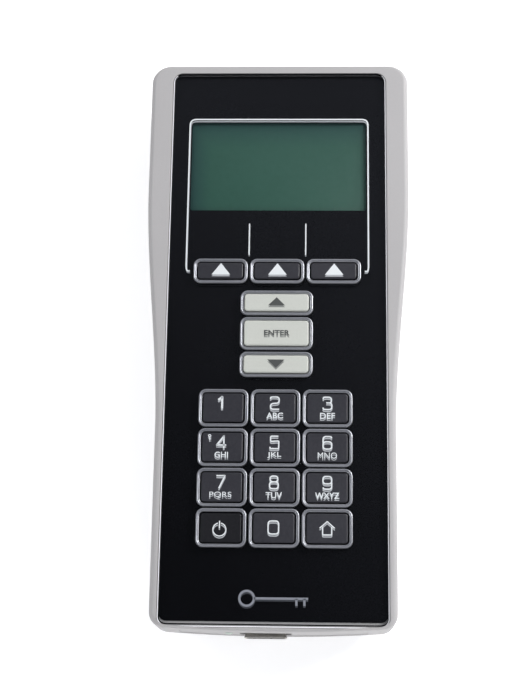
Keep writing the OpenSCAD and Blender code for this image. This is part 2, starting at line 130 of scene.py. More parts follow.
def setSky():
    scene.world = bpy.data.worlds.new("sky")
    scene.world.use_nodes = True
    tree = scene.world.node_tree
    way = node(tree, "ShaderNodeTexCoord").outputs["Generated"]
    height = node(tree, "ShaderNodeSeparateXYZ", {0: way}).outputs["Z"]
    lean = node(tree, "ShaderNodeVectorMath", {0: way, 1: light["skyLean"]},
                operation="DOT_PRODUCT").outputs["Value"]
    place = maths(tree, "MULTIPLY_ADD", height, lean, height)
    stops = [(z, [b * (1 - (1 - tint) * min(z * 2, 1)) for tint in light["skyTint"]]) for z,
             b in light["sky"]]
    colour = ramp(tree, place, stops)
    tree.links.new(colour, tree.nodes["Background"].inputs["Color"])


def setLamps():
    for i, (place, watts, size, inMirrors) in enumerate(light["lamps"]):
        data = bpy.data.lights.new("lamp_%d" % i, "AREA")
        data.energy = watts
        data.size = size
        lamp = bpy.data.objects.new("lamp_%d" % i, data)
        lamp.location = place
        lamp.visible_glossy = inMirrors
        lamp.rotation_mode = "QUATERNION"
        lamp.rotation_quaternion = (-Vector(place)).to_track_quat("-Z", "Y")
        scene.collection.objects.link(lamp)


def setFloor():
    data = bpy.data.meshes.new("floor")
    reach = 3.0
    data.from_pydata([(x, y, 0) for x,
                      y in ((-reach, -reach), (reach, -reach), (reach, reach), (-reach, reach))],
                     [], [(0, 1, 2, 3)])
    floor = bpy.data.objects.new("floor", data)
    scene.collection.objects.link(floor)
    data.materials.append(finish("floorPaper", light["floor"], light["floor"], 30, (0.8, 0.9),
                                 Emission_Color=(1, 1, 1, 1),
                                 Emission_Strength=light["glow"]))


# Finishes

def tone(red, green, blue):
    return tuple((c / 255 / 12.92) if c < 10.3 else ((c / 255 + 0.055) / 1.055) ** 2.4
                 for c in (red, green, blue))


def finish(name, colour, second, grain, rough, bump=0.0, streak=None, **fixed):
    # Two close shades mixed by a fine grain and a slow cloud, with the grain in gloss and relief too
    material = bpy.data.materials.new(name)
    material.use_nodes = True
    tree = material.node_tree
    shader = tree.nodes["Principled BSDF"]
    place = node(tree, "ShaderNodeTexCoord").outputs["Object"]
    if streak:
        place = node(tree, "ShaderNodeMapping", {"Vector": place, "Scale": streak}).outputs["Vector"]
    speck = node(tree, "ShaderNodeTexNoise", {"Vector": place, "Scale": grain, "Detail": 2.0}).outputs["Fac"]
    cloud = node(tree, "ShaderNodeTexNoise", {"Vector": place, "Scale": 22.0, "Detail": 3.0}).outputs["Fac"]
    both = maths(tree, "ADD", speck, cloud)
    tree.links.new(ramp(tree, maths(tree, "MULTIPLY", both, 0.5),
                        [(0.36, second), (0.64, colour)]), shader.inputs["Base Color"])
    gloss = node(tree, "ShaderNodeMapRange", {"Value": both, "From Min": 0.7, "From Max": 1.3,
                                              "To Min": rough[0], "To Max": rough[1]})
    tree.links.new(gloss.outputs["Result"], shader.inputs["Roughness"])
    if bump:
        relief = node(tree, "ShaderNodeBump", {"Height": speck, "Strength": 0.6, "Distance": bump * mm})
        tree.links.new(relief.outputs["Normal"], shader.inputs["Normal"])
    for key, value in fixed.items():
        shader.inputs[key.replace("_", " ")].default_value = value
    return material


def clearFinish(name, tint, sheen, rough):
    # A clear skin: lets everything through but what its face mirrors
    material = bpy.data.materials.new(name)
    material.use_nodes = True
    tree = material.node_tree
    tree.nodes.remove(tree.nodes["Principled BSDF"])
    facing = node(tree, "ShaderNodeLayerWeight", {"Blend": 0.5}).outputs["Facing"]
    edge = maths(tree, "POWER", facing, 5.0)
    share = maths(tree, "MULTIPLY_ADD", edge, 1 - sheen, sheen)
    through = node(tree, "ShaderNodeBsdfTransparent", {"Color": (*tint, 1)})
    place = node(tree, "ShaderNodeTexCoord").outputs["Object"]
    smear = node(tree, "ShaderNodeTexNoise", {"Vector": place, "Scale": 35.0, "Detail": 4.0}).outputs["Fac"]
    wiped = node(tree, "ShaderNodeMapRange", {"Value": smear, "To Min": rough[0], "To Max": rough[1]})
    mirror = node(tree, "ShaderNodeBsdfGlossy", {"Roughness": wiped.outputs["Result"]})
    mixed = node(tree, "ShaderNodeMixShader", {0: share, 1: through.outputs[0], 2: mirror.outputs[0]})
    tree.links.new(mixed.outputs[0], tree.nodes["Material Output"].inputs["Surface"])
    return material


caseGrey = finish("caseGrey", tone(172, 170, 170), tone(166, 164, 164), 2600, (0.5, 0.62), 0.012)
doorGrey = finish("doorGrey", tone(174, 173, 174), tone(168, 167, 168), 2600, (0.5, 0.62), 0.012)
collarSilver = finish("collarSilver", (0.5, 0.51, 0.54), (0.45, 0.46, 0.49), 900, (0.33, 0.39), Metallic=0.8)
keyDark = finish("keyDark", tone(52, 52, 57), tone(44, 44, 49), 1500, (0.32, 0.42), 0.004)
keyBlack = finish("keyBlack", tone(30, 30, 33), tone(24, 24, 27), 1500, (0.3, 0.4), 0.004)
keyLight = finish("keyLight", tone(191, 193, 186), tone(186, 188, 181), 1500, (0.4, 0.5), 0.002)
filmBlack = finish("filmBlack", (0.0025, 0.0026, 0.0034), (0.002, 0.0021, 0.0028), 1200, (0.2, 0.26),
                   Specular_IOR_Level=0.1)
printPale = finish("printPale", tone(217, 221, 222), tone(209, 213, 215), 4000, (0.5, 0.6))
printPaintedReflection = finish("printPaintedReflection", tone(166, 169, 172), tone(158, 161, 165), 4000, (0.5, 0.6))
printGrey = finish("printGrey", tone(74, 76, 74), tone(68, 70, 70), 4000, (0.5, 0.6))
printGreyPaintedReflection = finish("printGreyPaintedReflection", tone(128, 130, 127), tone(122, 124, 121), 4000, (0.5, 0.6))
markPale = finish("markPale", tone(128, 131, 139), tone(120, 123, 131), 4000, (0.5, 0.6))
markPaintedReflection = finish("markPaintedReflection", tone(66, 68, 74), tone(58, 60, 66), 4000, (0.5, 0.6))
displayGreen = finish("displayGreen", tone(48, 87, 74), tone(44, 82, 69), 500, (0.3, 0.4))
socketSteel = finish("socketSteel", (0.68, 0.66, 0.62), (0.5, 0.48, 0.44), 700, (0.24, 0.36), 0.003,
                     streak=(1, 12, 1), Metallic=0.75)
screwSteel = finish("screwSteel", (0.6, 0.6, 0.61), (0.45, 0.45, 0.46), 900, (0.25, 0.42), 0.006,
                    Metallic=1.0)
springSteel = finish("springSteel", (0.72, 0.72, 0.7), (0.6, 0.6, 0.58), 900, (0.2, 0.32), 0.003,
                     Metallic=1.0)
bezelSteel = finish("bezelSteel", (0.16, 0.165, 0.17), (0.12, 0.12, 0.125), 900, (0.35, 0.5), 0.003,
                    Metallic=0.6)
contactNickel = finish("contactNickel", (0.7, 0.67, 0.6), (0.58, 0.55, 0.5), 900, (0.25, 0.4), 0.003,
                       Metallic=1.0)
plasticBlack = finish("plasticBlack", (0.016, 0.016, 0.018), (0.011, 0.011, 0.012), 1800, (0.4, 0.55), 0.008)
footRubber = finish("footRubber", (0.022, 0.022, 0.024), (0.014, 0.014, 0.015), 1600, (0.7, 0.85), 0.02)
foamBlack = finish("foamBlack", (0.012, 0.012, 0.012), (0.006, 0.006, 0.006), 2500, (0.85, 0.95), 0.05)
siliconeGrey = finish("siliconeGrey", (0.1, 0.105, 0.115), (0.085, 0.09, 0.1), 1300, (0.55, 0.7), 0.01)
boardGreen = finish("boardGreen", (0.012, 0.085, 0.035), (0.008, 0.06, 0.026), 350, (0.3, 0.45), 0.004)
diffuserWhite = finish("diffuserWhite", (0.78, 0.8, 0.74), (0.72, 0.74, 0.68), 400, (0.5, 0.6))
lightPipe = finish("lightPipe", (0.62, 0.7, 0.64), (0.52, 0.6, 0.54), 300, (0.08, 0.16), Coat_Weight=0.5)
cellSleeve = finish("cellSleeve", (0.035, 0.037, 0.042), (0.026, 0.028, 0.032), 300, (0.22, 0.32),
                    Coat_Weight=0.3)
cellBand = finish("cellBand", (0.5, 0.33, 0.16), (0.42, 0.27, 0.12), 300, (0.25, 0.35), Metallic=0.7)
# The clear plate's upper bevel is opaque and pale, a painted highlight of its clear edge; the left side's copy
# is lighter still and glows, a brighter painted highlight
plateRimPaintedHighlight = finish("plateRimPaintedHighlight", tone(190, 190, 194), tone(180, 180, 184), 1500, (0.3, 0.4))
plateRimBrightPaintedHighlight = finish("plateRimBrightPaintedHighlight", tone(240, 240, 243), tone(230, 230, 233), 1500, (0.3, 0.4),
                     Emission_Color=(0.9, 0.88, 0.92, 1), Emission_Strength=0.25)
plateClear = clearFinish("plateClear", (0.985, 0.99, 0.99), 0.035, (0.02, 0.06))
setCamera()
setSky()
setLamps()
setFloor()
print("camera, light and floor are set")


# Shapes that several pieces share

def addPiece(name, mesh, *finishes, angle=38, flat=False):
    bmesh.ops.scale(mesh, vec=(mm, mm, mm), verts=mesh.verts)
    data = bpy.data.meshes.new(name)
    mesh.to_mesh(data)
    mesh.free()
    piece = bpy.data.objects.new(name, data)
    scene.collection.objects.link(piece)
    for one in finishes:
        data.materials.append(one)
    if not flat:
        smoothen(piece, angle)
    return piece


def smoothen(piece, angle=38):
    piece.data.shade_smooth()
    piece.data.set_sharp_from_angle(angle=radians(angle))


def evenNormals(piece):
    # Keeps wide faces flat where they meet a small round
    tool = piece.modifiers.new("even", "WEIGHTED_NORMAL")
    tool.keep_sharp = True
    settle(piece)


def settle(piece):
    graph = bpy.context.evaluated_depsgraph_get()
    made = bpy.data.meshes.new_from_object(piece.evaluated_get(graph), preserve_all_data_layers=True,
                                           depsgraph=graph)
    piece.modifiers.clear()
    piece.data = made


def shapeWith(piece, operation, *tools):
    for tool in tools:
        step = piece.modifiers.new("shape", "BOOLEAN")
        step.operation = operation
        step.solver = "EXACT"
        step.object = tool
        settle(piece)
        bpy.data.objects.remove(tool)
    return piece


def mount(piece, body, slot, *nodes):
    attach(piece, body)
    if nodes:
        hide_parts(*nodes)


def roundedRing(size, radius, centre=(0, 0), grow=0.0, steps=8):
    halfX, halfY = size[0] / 2 + grow, size[1] / 2 + grow
    r = min(max(radius + grow, 0.03), halfX - 0.01, halfY - 0.01)
    ring = []
    for turn, (sideX, sideY) in enumerate(((1, -1), (1, 1), (-1, 1), (-1, -1))):
        for i in range(steps + 1):
            a = radians(90 * (turn - 1 + i / steps))
            ring.append((centre[0] + sideX * (halfX - r) + r * cos(a),
                         centre[1] + sideY * (halfY - r) + r * sin(a)))
    return ring


def rounded(size, radius, centre=(0, 0), steps=8):
    return lambda grow: roundedRing(size, radius, centre, grow, steps)


def disc(radius, centre=(0, 0), steps=48):
    return lambda grow: [(centre[0] + (radius + grow) * cos(2 * pi * i / steps),
                          centre[1] + (radius + grow) * sin(2 * pi * i / steps)) for i in range(steps)]


def bridge(mesh, low, high):
    count = len(low)
    for i in range(count):
        k = (i + 1) % count
        mesh.faces.new((low[i], low[k], high[k], high[i]))


def stack(rings, loop=False):
    # Closed solid through rings of points; as a loop the last ring joins the first
    mesh = bmesh.new()
    made = [[mesh.verts.new(p) for p in ring] for ring in rings]
    for low, high in zip(made, made[1:]):
        bridge(mesh, low, high)
    if loop:
        bridge(mesh, made[-1], made[0])
    else:
        mesh.faces.new(made[0])
        mesh.faces.new(made[-1])
    bmesh.ops.recalc_face_normals(mesh, faces=mesh.faces)
    return mesh


def fillRings(mesh, rings):
    # Triangles between the outer ring and the convex holes inside it
    verts, owner, edges = [], [], []
    for which, ring in enumerate(rings):
        start, count = len(verts), len(ring)
        edges += [(start + i, start + (i + 1) % count) for i in range(count)]
        verts += ring
        owner += [which] * count
    found = delaunay_2d_cdt([vert.co.xy for vert in verts], edges, [], 1, 1e-7)
    for corners in found[2]:
        picked = [found[3][i][0] for i in corners]
        rest = {owner[i] for i in picked}
        if rest == {0} or len(rest) > 1:          # a triangle on one hole's ring alone fills that hole
            mesh.faces.new([verts[i] for i in picked])


def slab(profile, outer, holes=(), mesh=None):
    # Profile is (growth of the solid, height) from the lowest ring up; a hole shrinks where the solid grows
    mesh = mesh or bmesh.new()
    ends = [[], []]
    for shape, sign in [(outer, 1)] + [(hole, -1) for hole in holes]:
        rings = [[mesh.verts.new((x, y, z)) for x, y in shape(sign * grow)] for grow, z in profile]
        for low, high in zip(rings, rings[1:]):
            bridge(mesh, low, high)
        ends[0].append(rings[0])
        ends[1].append(rings[-1])
    for rings in ends:
        if holes:
            fillRings(mesh, rings)
        else:
            mesh.faces.new(rings[0])
    bmesh.ops.recalc_face_normals(mesh, faces=mesh.faces)
    return mesh


def softEdges(low, high, edge, steps=3):
    # Profile of a straight wall with round edges
    turn = [90 * i / steps for i in range(steps + 1)]
    return ([(-edge * (1 - sin(radians(a))), low + edge * (1 - cos(radians(a)))) for a in turn]
            + [(-edge * (1 - cos(radians(a))), high - edge * (1 - sin(radians(a)))) for a in turn])


def topEdge(low, high, edge, steps=4):
    return [(0, low)] + softEdges(low, high, edge, steps)[steps + 1:]


def block(name, low, high, radius=0.05):
    size = (high[0] - low[0], high[1] - low[1])
    middle = ((high[0] + low[0]) / 2, (high[1] + low[1]) / 2)
    return addPiece(name, slab([(0, low[2]), (0, high[2])], rounded(size, radius, middle, 3)), flat=True)


def lathe(profile, mesh=None, steps=48):
    # Turned solid about Z; profile is (radius, height) from pole to pole
    mesh = mesh or bmesh.new()
    rings = []
    for radius, z in profile:
        count = steps if radius else 1
        rings.append([mesh.verts.new((radius * cos(2 * pi * i / steps), radius * sin(2 * pi * i / steps), z))
                      for i in range(count)])
    for low, high in zip(rings, rings[1:]):
        for i in range(steps):
            k = (i + 1) % steps
            corners = [low[i % len(low)], low[k % len(low)], high[k % len(high)], high[i % len(high)]]
            mesh.faces.new(list(dict.fromkeys(corners)))
    bmesh.ops.recalc_face_normals(mesh, faces=mesh.faces)
    return mesh


def repeated(makeOne, turns):
    # The same solid at each matrix
    whole = bmesh.new()
    for turn in turns:
        one = makeOne()
        one.transform(turn)
        data = bpy.data.meshes.new("one")
        one.to_mesh(data)
        one.free()
        whole.from_mesh(data)
        bpy.data.meshes.remove(data)
    return whole


def standUp(mesh):
    # Turns a slab drawn flat so that its heights run along the case and its Y points up
    for v in mesh.verts:
        v.co = (v.co.x, v.co.z, v.co.y)
    bmesh.ops.recalc_face_normals(mesh, faces=mesh.faces)
    return mesh


# Geometry node trees

def newTree(name, inputs):
    tree = bpy.data.node_groups.new(name, "GeometryNodeTree")
    tree.interface.new_socket("Geometry", in_out="INPUT", socket_type="NodeSocketGeometry")
    for label, kind in inputs.items():
        tree.interface.new_socket(label, in_out="INPUT", socket_type="NodeSocket" + kind)
    tree.interface.new_socket("Geometry", in_out="OUTPUT", socket_type="NodeSocketGeometry")
    return tree, tree.nodes.new("NodeGroupInput").outputs


def closeTree(tree, geometry, material):
    real = node(tree, "GeometryNodeRealizeInstances", {0: geometry}).outputs[0]
    dressed = node(tree, "GeometryNodeSetMaterial", {"Geometry": real, "Material": material}).outputs[0]
    node(tree, "NodeGroupOutput", {0: dressed})
    return tree


def vector(tree, x=0.0, y=0.0, z=0.0):
    return node(tree, "ShaderNodeCombineXYZ", {0: x, 1: y, 2: z}).outputs[0]


def growPiece(name, tree, points, values):
    data = bpy.data.meshes.new(name)
    data.from_pydata([Vector(p) * mm for p in points], [], [])
    piece = bpy.data.objects.new(name, data)
    scene.collection.objects.link(piece)
    tool = piece.modifiers.new("nodes", "NODES")
    tool.node_group = tree
    for item in tree.interface.items_tree:
        if item.in_out == "INPUT" and item.name in values:
            value = values[item.name]
            tool[item.identifier] = value * mm if isinstance(value, float) else value
    settle(piece)
    return piece


def collarTree():
    # Filleted frames swept with a filleted wall, one on each point
    tree, given = newTree("collars",
                          {"Width": "Float", "Height": "Float", "Corner": "Float", "Inset": "Float",
                                      "Wall": "Float", "Low": "Float", "High": "Float", "Edge": "Float",
                                      "Material": "Material"})
    inset = maths(tree, "MULTIPLY_ADD", given["Wall"], 0.5, given["Inset"])
    path = node(tree, "GeometryNodeCurvePrimitiveQuadrilateral",
                {"Width": maths(tree, "MULTIPLY_ADD", inset, -2.0, given["Width"]),
                 "Height": maths(tree, "MULTIPLY_ADD", inset, -2.0, given["Height"])}).outputs[0]
    bend = maths(tree, "SUBTRACT", given["Corner"], inset)
    path = node(tree, "GeometryNodeFilletCurve", {"Curve": path, "Count": 10, "Radius": bend},
                mode="POLY").outputs[0]
    rise = maths(tree, "SUBTRACT", given["High"], given["Low"])
    wall = node(tree, "GeometryNodeCurvePrimitiveQuadrilateral",
                {"Width": given["Wall"], "Height": rise}).outputs[0]
    wall = node(tree, "GeometryNodeFilletCurve", {"Curve": wall, "Count": 5, "Radius": given["Edge"]},
                mode="POLY").outputs[0]
    ring = node(tree, "GeometryNodeCurveToMesh", {"Curve": path, "Profile Curve": wall}).outputs[0]
    middle = maths(tree, "MULTIPLY", maths(tree, "ADD", given["High"], given["Low"]), 0.5)
    ring = node(tree, "GeometryNodeTransform",
                {"Geometry": ring, "Translation": vector(tree, z=middle)}).outputs[0]
    put = node(tree, "GeometryNodeInstanceOnPoints",
               {"Points": given["Geometry"], "Instance": ring}).outputs[0]
    return closeTree(tree, put, given["Material"])


def screwTree():
    # Pan head with a cross recess below, shank above, one on each point
    tree, given = newTree("screws", {"Head Radius": "Float", "Head Height": "Float", "Shank Radius": "Float",
                                     "Shank Length": "Float", "Cross": "Float", "Material": "Material"})
    low = maths(tree, "MULTIPLY", given["Head Height"], 0.5)
    face = node(tree, "GeometryNodeMeshCone", {"Vertices": 40, "Radius Top": given["Head Radius"],
                                               "Radius Bottom": maths(tree, "MULTIPLY",
                                                                      given["Head Radius"], 0.78),
                                               "Depth": low}).outputs["Mesh"]
    face = node(tree, "GeometryNodeTransform",
                {"Geometry": face, "Translation": vector(tree,
                                                         z=maths(tree, "MULTIPLY", given["Head Height"],
                                                                 -1.0))})
    rim = node(tree, "GeometryNodeMeshCylinder",
               {"Vertices": 40, "Radius": given["Head Radius"], "Depth": low})
    rim = node(tree, "GeometryNodeTransform",
               {"Geometry": rim.outputs["Mesh"],
                "Translation": vector(tree, z=maths(tree, "MULTIPLY", given["Head Height"], -0.25))})
    shank = node(tree, "GeometryNodeMeshCylinder", {"Vertices": 24, "Radius": given["Shank Radius"],
                                                    "Depth": given["Shank Length"]})
    shank = node(tree, "GeometryNodeTransform",
                 {"Geometry": shank.outputs["Mesh"],
                  "Translation": vector(tree, z=maths(tree, "MULTIPLY", given["Shank Length"], 0.49))})
    solid = node(tree, "GeometryNodeMeshBoolean", operation="UNION", solver="EXACT")
    for part in (face, rim, shank):
        tree.links.new(part.outputs[0], solid.inputs["Mesh 2"])
    bars = node(tree, "GeometryNodeMeshBoolean", operation="UNION", solver="EXACT")
    thin = maths(tree, "MULTIPLY", given["Cross"], 0.24)
    for sides in ((given["Cross"], thin), (thin, given["Cross"])):
        bar = node(tree, "GeometryNodeMeshCube",
                   {"Size": vector(tree, sides[0], sides[1], given["Head Height"])})
        tree.links.new(bar.outputs["Mesh"], bars.inputs["Mesh 2"])
    bars = node(tree, "GeometryNodeTransform",
                {"Geometry": bars.outputs[0],
                 "Translation": vector(tree, z=maths(tree, "MULTIPLY", given["Head Height"], -1.15))})
    cut = node(tree, "GeometryNodeMeshBoolean", {"Mesh 1": solid.outputs[0], "Mesh 2": bars.outputs[0]},
               operation="DIFFERENCE", solver="EXACT")
    put = node(tree, "GeometryNodeInstanceOnPoints",
               {"Points": given["Geometry"], "Instance": cut.outputs[0]})
    return closeTree(tree, put.outputs[0], given["Material"])


def springTree():
    # Cone spring of round wire standing along Z, turned to lie along the case
    tree, given = newTree("springs", {"Wire": "Float", "Wide": "Float", "Narrow": "Float", "Length": "Float",
                                      "Turns": "Int", "Tilt": "Rotation", "Material": "Material"})
    coil = node(tree, "GeometryNodeCurveSpiral", {"Resolution": 36, "Rotations": given["Turns"],
                                                  "Start Radius": given["Wide"], "End Radius": given["Narrow"],
                                                  "Height": given["Length"]}).outputs[0]
    wire = node(tree, "GeometryNodeCurvePrimitiveCircle",
                {"Resolution": 10, "Radius": given["Wire"]}).outputs[0]
    coil = node(tree, "GeometryNodeCurveToMesh",
                {"Curve": coil, "Profile Curve": wire, "Fill Caps": True}).outputs[0]
    put = node(tree, "GeometryNodeInstanceOnPoints",
               {"Points": given["Geometry"], "Instance": coil, "Rotation": given["Tilt"]}).outputs[0]
    return closeTree(tree, put, given["Material"])


def grooveTree():
    # A row of round bars, cut from the door as its thumb grooves
    tree, given = newTree("grooves", {"Count": "Int", "Pitch": "Float", "Length": "Float", "Radius": "Float",
                                      "Material": "Material"})
    row = node(tree, "GeometryNodeMeshLine",
               {"Count": given["Count"], "Offset": vector(tree, y=given["Pitch"])})
    bar = node(tree, "GeometryNodeMeshCylinder",
               {"Vertices": 20, "Radius": given["Radius"], "Depth": given["Length"]})
    bar = node(tree, "GeometryNodeTransform", {"Geometry": bar.outputs["Mesh"], "Rotation": (0, pi / 2, 0)})
    put = node(tree, "GeometryNodeInstanceOnPoints", {"Points": row.outputs[0], "Instance": bar.outputs[0]})
    moved = node(tree, "GeometryNodeInstanceOnPoints",
                 {"Points": given["Geometry"], "Instance": put.outputs[0]})
    return closeTree(tree, moved.outputs[0], given["Material"])


# Case

case = {
    "waist": 5.1,                                 # how much the grip is narrower than the head, each side
    "waistLow": -33.0,                            # where the waist starts and ends, from the print's middle
    "waistHigh": 53.0,
    "endBow": 1.2,
    "endCorner": 5.0,
    "headCorner": 6.5,
    "sideEdge": 1.8,
    "endEdge": 0.8,
    "wall": 2.2,
    "floor": 2.0,
    "backSide": 9.0,                              # how far the rounding of the back comes in
    "backEnd": 8.0,
    "lip": (0.9, 1.5),
    "seam": 0.22,                                 # chamfer on both sides of the parting line
    "seatT": 2.2,
}
headHalf = frontHigh.x
gripHalf = headHalf - case["waist"]
endY, headY = frontLow.y, frontHigh.y
rise = partZ - baseZ                              # height of the rear shell
seatZ = filmLow.z
underZ = seatZ - case["seatT"]
waistSteps = 26
cornerSteps = 9


def halfWidth(y):
    t = (y - printY - case["waistLow"]) / (case["waistHigh"] - case["waistLow"])
    t = min(max(t, 0), 1)
    return gripHalf + case["waist"] * t * t * (3 - 2 * t)


def waistPlaces():
    span = case["waistHigh"] - case["waistLow"]
    return [printY + case["waistLow"] + span * i / waistSteps for i in range(waistSteps + 1)]


def mirrored(right):
    return right + [(-x, y) for x, y in reversed(right[1:-1])]


def caseOutline(side, end):
    lowR = max(case["endCorner"] - min(side, end), 4)
    highR = max(case["headCorner"] - min(side, end), 4)
    lowC = (gripHalf - side - lowR, endY + end + case["endBow"] + lowR)
    highC = (headHalf - side - highR, headY - end - highR)
    right = [(lowC[0] * i / 10, endY + end + case["endBow"] * (i / 10) ** 2) for i in range(10)]
    right += [(lowC[0] + lowR * cos(radians(a)), lowC[1] + lowR * sin(radians(a)))
              for a in [-87 + 87 * i / cornerSteps for i in range(cornerSteps + 1)]]
    right += [(halfWidth(y) - side, y) for y in waistPlaces()]
    right += [(highC[0] + highR * cos(radians(a)), highC[1] + highR * sin(radians(a)))
              for a in [90 * i / cornerSteps for i in range(cornerSteps + 1)]]
    right += [(highC[0] * (1 - i / 8), headY - end) for i in range(1, 9)]
    return mirrored(right)


def plateOutline(grow, radius=3.4):
    # Rounded rectangle with one point for each point of the case's outline
    halfX = plateHigh.x + grow
    low, high = plateLow.y - grow, plateHigh.y + grow
    r = max(radius + grow, 1)
    right = [((halfX - r) * i / 10, low) for i in range(10)]
    right += [(halfX - r + r * cos(radians(a)), low + r + r * sin(radians(a)))
              for a in [-90 + 90 * i / cornerSteps for i in range(cornerSteps + 1)]]
    right += [(halfX, y) for y in waistPlaces()]
    right += [(halfX - r + r * cos(radians(a)), high - r + r * sin(radians(a)))
              for a in [90 * i / cornerSteps for i in range(cornerSteps + 1)]]
    right += [((halfX - r) * (1 - i / 8), high) for i in range(1, 9)]
    return mirrored(right)


def atHeight(outline, z):
    return [(x, y, z) for x, y in outline]


keyNames = [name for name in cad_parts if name.startswith("key_") and name != "key_surround"]
keyFlange = 0.9
keyGap = 0.35
collar = {
    "wall": 1.1,
    "corner": 2.5,
    # inset, width, drop and edge of each ridge
    "ridges": [(0.0, 0.66, 0.0, 0.3), (0.58, 0.52, 0.22, 0.24)],
}


def keyPlan(name):
    # Middle, face size and top of a key
    low, high = boxOf(name)
    face = (high.x - low.x - 2 * keyFlange, high.y - low.y - 2 * keyFlange)
    return ((low.x + high.x) / 2, (low.y + high.y) / 2), face, low.z, high.z


def collarSize(face):
    return tuple(round(side + 2 * (collar["wall"] + keyGap), 3) for side in face)


def collarHole(name, margin=0.12):
    middle, face = keyPlan(name)[:2]
    size = collarSize(face)
    return rounded((size[0] + 2 * margin, size[1] + 2 * margin), collar["corner"] + margin, middle)


glassLow, glassHigh = boxOf("lcd_glass")
windowMiddle = (0, (glassLow.y + glassHigh.y) / 2)
windowSize = (61.6, 33.2)
webMiddle = (0, (surroundLow.y + surroundHigh.y) / 2)
webSize = (surroundHigh.x - surroundLow.x, surroundHigh.y - surroundLow.y)
webZ = surroundLow.z
endWindow = {"half": 31.0, "top": underZ - 1.2, "height": 9.8, "recess": 0.12, "gap": 0.04}


# Slot of the clear plate, with a chamfer at its mouth and a ledge under the plate; opening for the display
pocket = {"gap": 0.12, "chamfer": 0.15, "ledge": 1.2, "display": (68.6, 40.6)}


def makeFrontShell():
    wall, seam = case["wall"], case["seam"]
    slot, chamfer = pocket["gap"], pocket["chamfer"]
    rings = [atHeight(caseOutline(wall, wall), partZ),
             atHeight(caseOutline(seam, seam), partZ),
             atHeight(caseOutline(0, 0), partZ + seam),
             atHeight(caseOutline(0, 0), topZ - case["sideEdge"] - 5)]
    for i in range(8):
        a = radians(90 * i / 7)
        rings.append(atHeight(caseOutline(case["sideEdge"] * (1 - cos(a)), case["endEdge"] * (1 - cos(a))),
                              topZ - case["sideEdge"] * (1 - sin(a))))
    for grow, z in ((slot + chamfer, topZ), (slot + 0.3 * chamfer, topZ - 0.3 * chamfer),
                    (slot, topZ - chamfer), (slot, seatZ), (-pocket["ledge"], seatZ), (-pocket["ledge"],
                                                                                       underZ)):
        rings.append(atHeight(plateOutline(grow), z))
    rings.append(atHeight(caseOutline(wall, wall), underZ))
    shell = addPiece("frontShell", stack(rings, loop=True), caseGrey)
    seatRim = rounded((plateHigh.x * 2 - 2, plateHigh.y - plateLow.y - 2), 3,
                      (0, (plateLow.y + plateHigh.y) / 2))
    window = rounded(pocket["display"], 1, windowMiddle)
    well = rounded((webSize[0] - 2, webSize[1] - 2), 2, webMiddle)
    seat = addPiece("seat", slab([(0, underZ + 0.02), (0, seatZ - 0.02)], seatRim, [window, well]),
                    caseGrey, flat=True)
    shell = shapeWith(shell, "UNION", seat)
    top, height, gap = endWindow["top"], endWindow["height"], endWindow["gap"]
    hole = standUp(slab([(0, endY - 2), (0, endY + case["endBow"] + wall + 1)],
                        rounded((endWindow["half"] * 2 + 2 * gap, height + 2 * gap), 0.5,
                                (0, top - height / 2))))
    shell = shapeWith(shell, "DIFFERENCE", addPiece("hole", hole, caseGrey, flat=True))
    smoothen(shell)
    evenNormals(shell)
    mount(shell, "case", "case_grey", "front_shell")


def rearLevels(skin=0.0, floor=0.0, steps=14):
    # Side inset, end inset and height up a quarter of an ellipse
    for i in range(steps + 1):
        a = radians(90 * i / steps)
        yield (skin + case["backSide"] * (1 - sin(a)), skin + case["backEnd"] * (1 - sin(a)),
               baseZ + floor + (rise - floor) * (1 - cos(a)))


def rearOuter(name):
    levels = list(rearLevels())
    seam = case["seam"]
    rings = [atHeight(caseOutline(side, end), z) for side, end, z in levels[:-1]]
    rings += [atHeight(caseOutline(0, 0), partZ - seam), atHeight(caseOutline(seam, seam), partZ)]
    return addPiece(name, stack(rings), caseGrey)


bayLow, bayHigh = boxOf("battery_contacts")
footLow, footHigh = boxOf("feet")
bay = {"half": 14.95, "low": bayLow.y - 0.03, "high": bayHigh.y + 0.03, "top": 17.7, "wall": 1.6}
door = {"gap": 0.12, "rail": 1.5, "railT": 0.9, "tray": 1.6, "corner": 1.5}
screwPlaces = [(-33, headY - 12), (33, headY - 12), (-27.5, endY + 17.5), (27.5, endY + 17.5)]
footPlaces = [(-27, headY - 28), (27, headY - 28), (-27, endY + 34), (27, endY + 34)]
rear = {"pillar": 3.6, "bore": 1.6, "headBore": 2.9, "headDepth": 3.0, "footSeat": 4.12, "footDepth": 0.8}
screwSeatZ = baseZ + rear["headDepth"]


def drums(name, places, radius, low, high):
    mesh = bmesh.new()
    for place in places:
        slab([(0, low), (0, high)], disc(radius, place), mesh=mesh)
    return addPiece(name, mesh, caseGrey, flat=True)


def doorRun(name, gap, high):
    # The door's slot with a rail along each side
    half = doorHigh.x - door["rail"]
    body = block(name, (-half - gap, endY - 5, baseZ - 1), (half + gap, high, doorHigh.z + gap),
                 door["corner"])
    rails = block("rails", (-doorHigh.x - gap, endY - 6, doorHigh.z - door["railT"] - gap),
                  (doorHigh.x + gap, high, doorHigh.z + gap), door["corner"])
    return shapeWith(body, "UNION", rails)


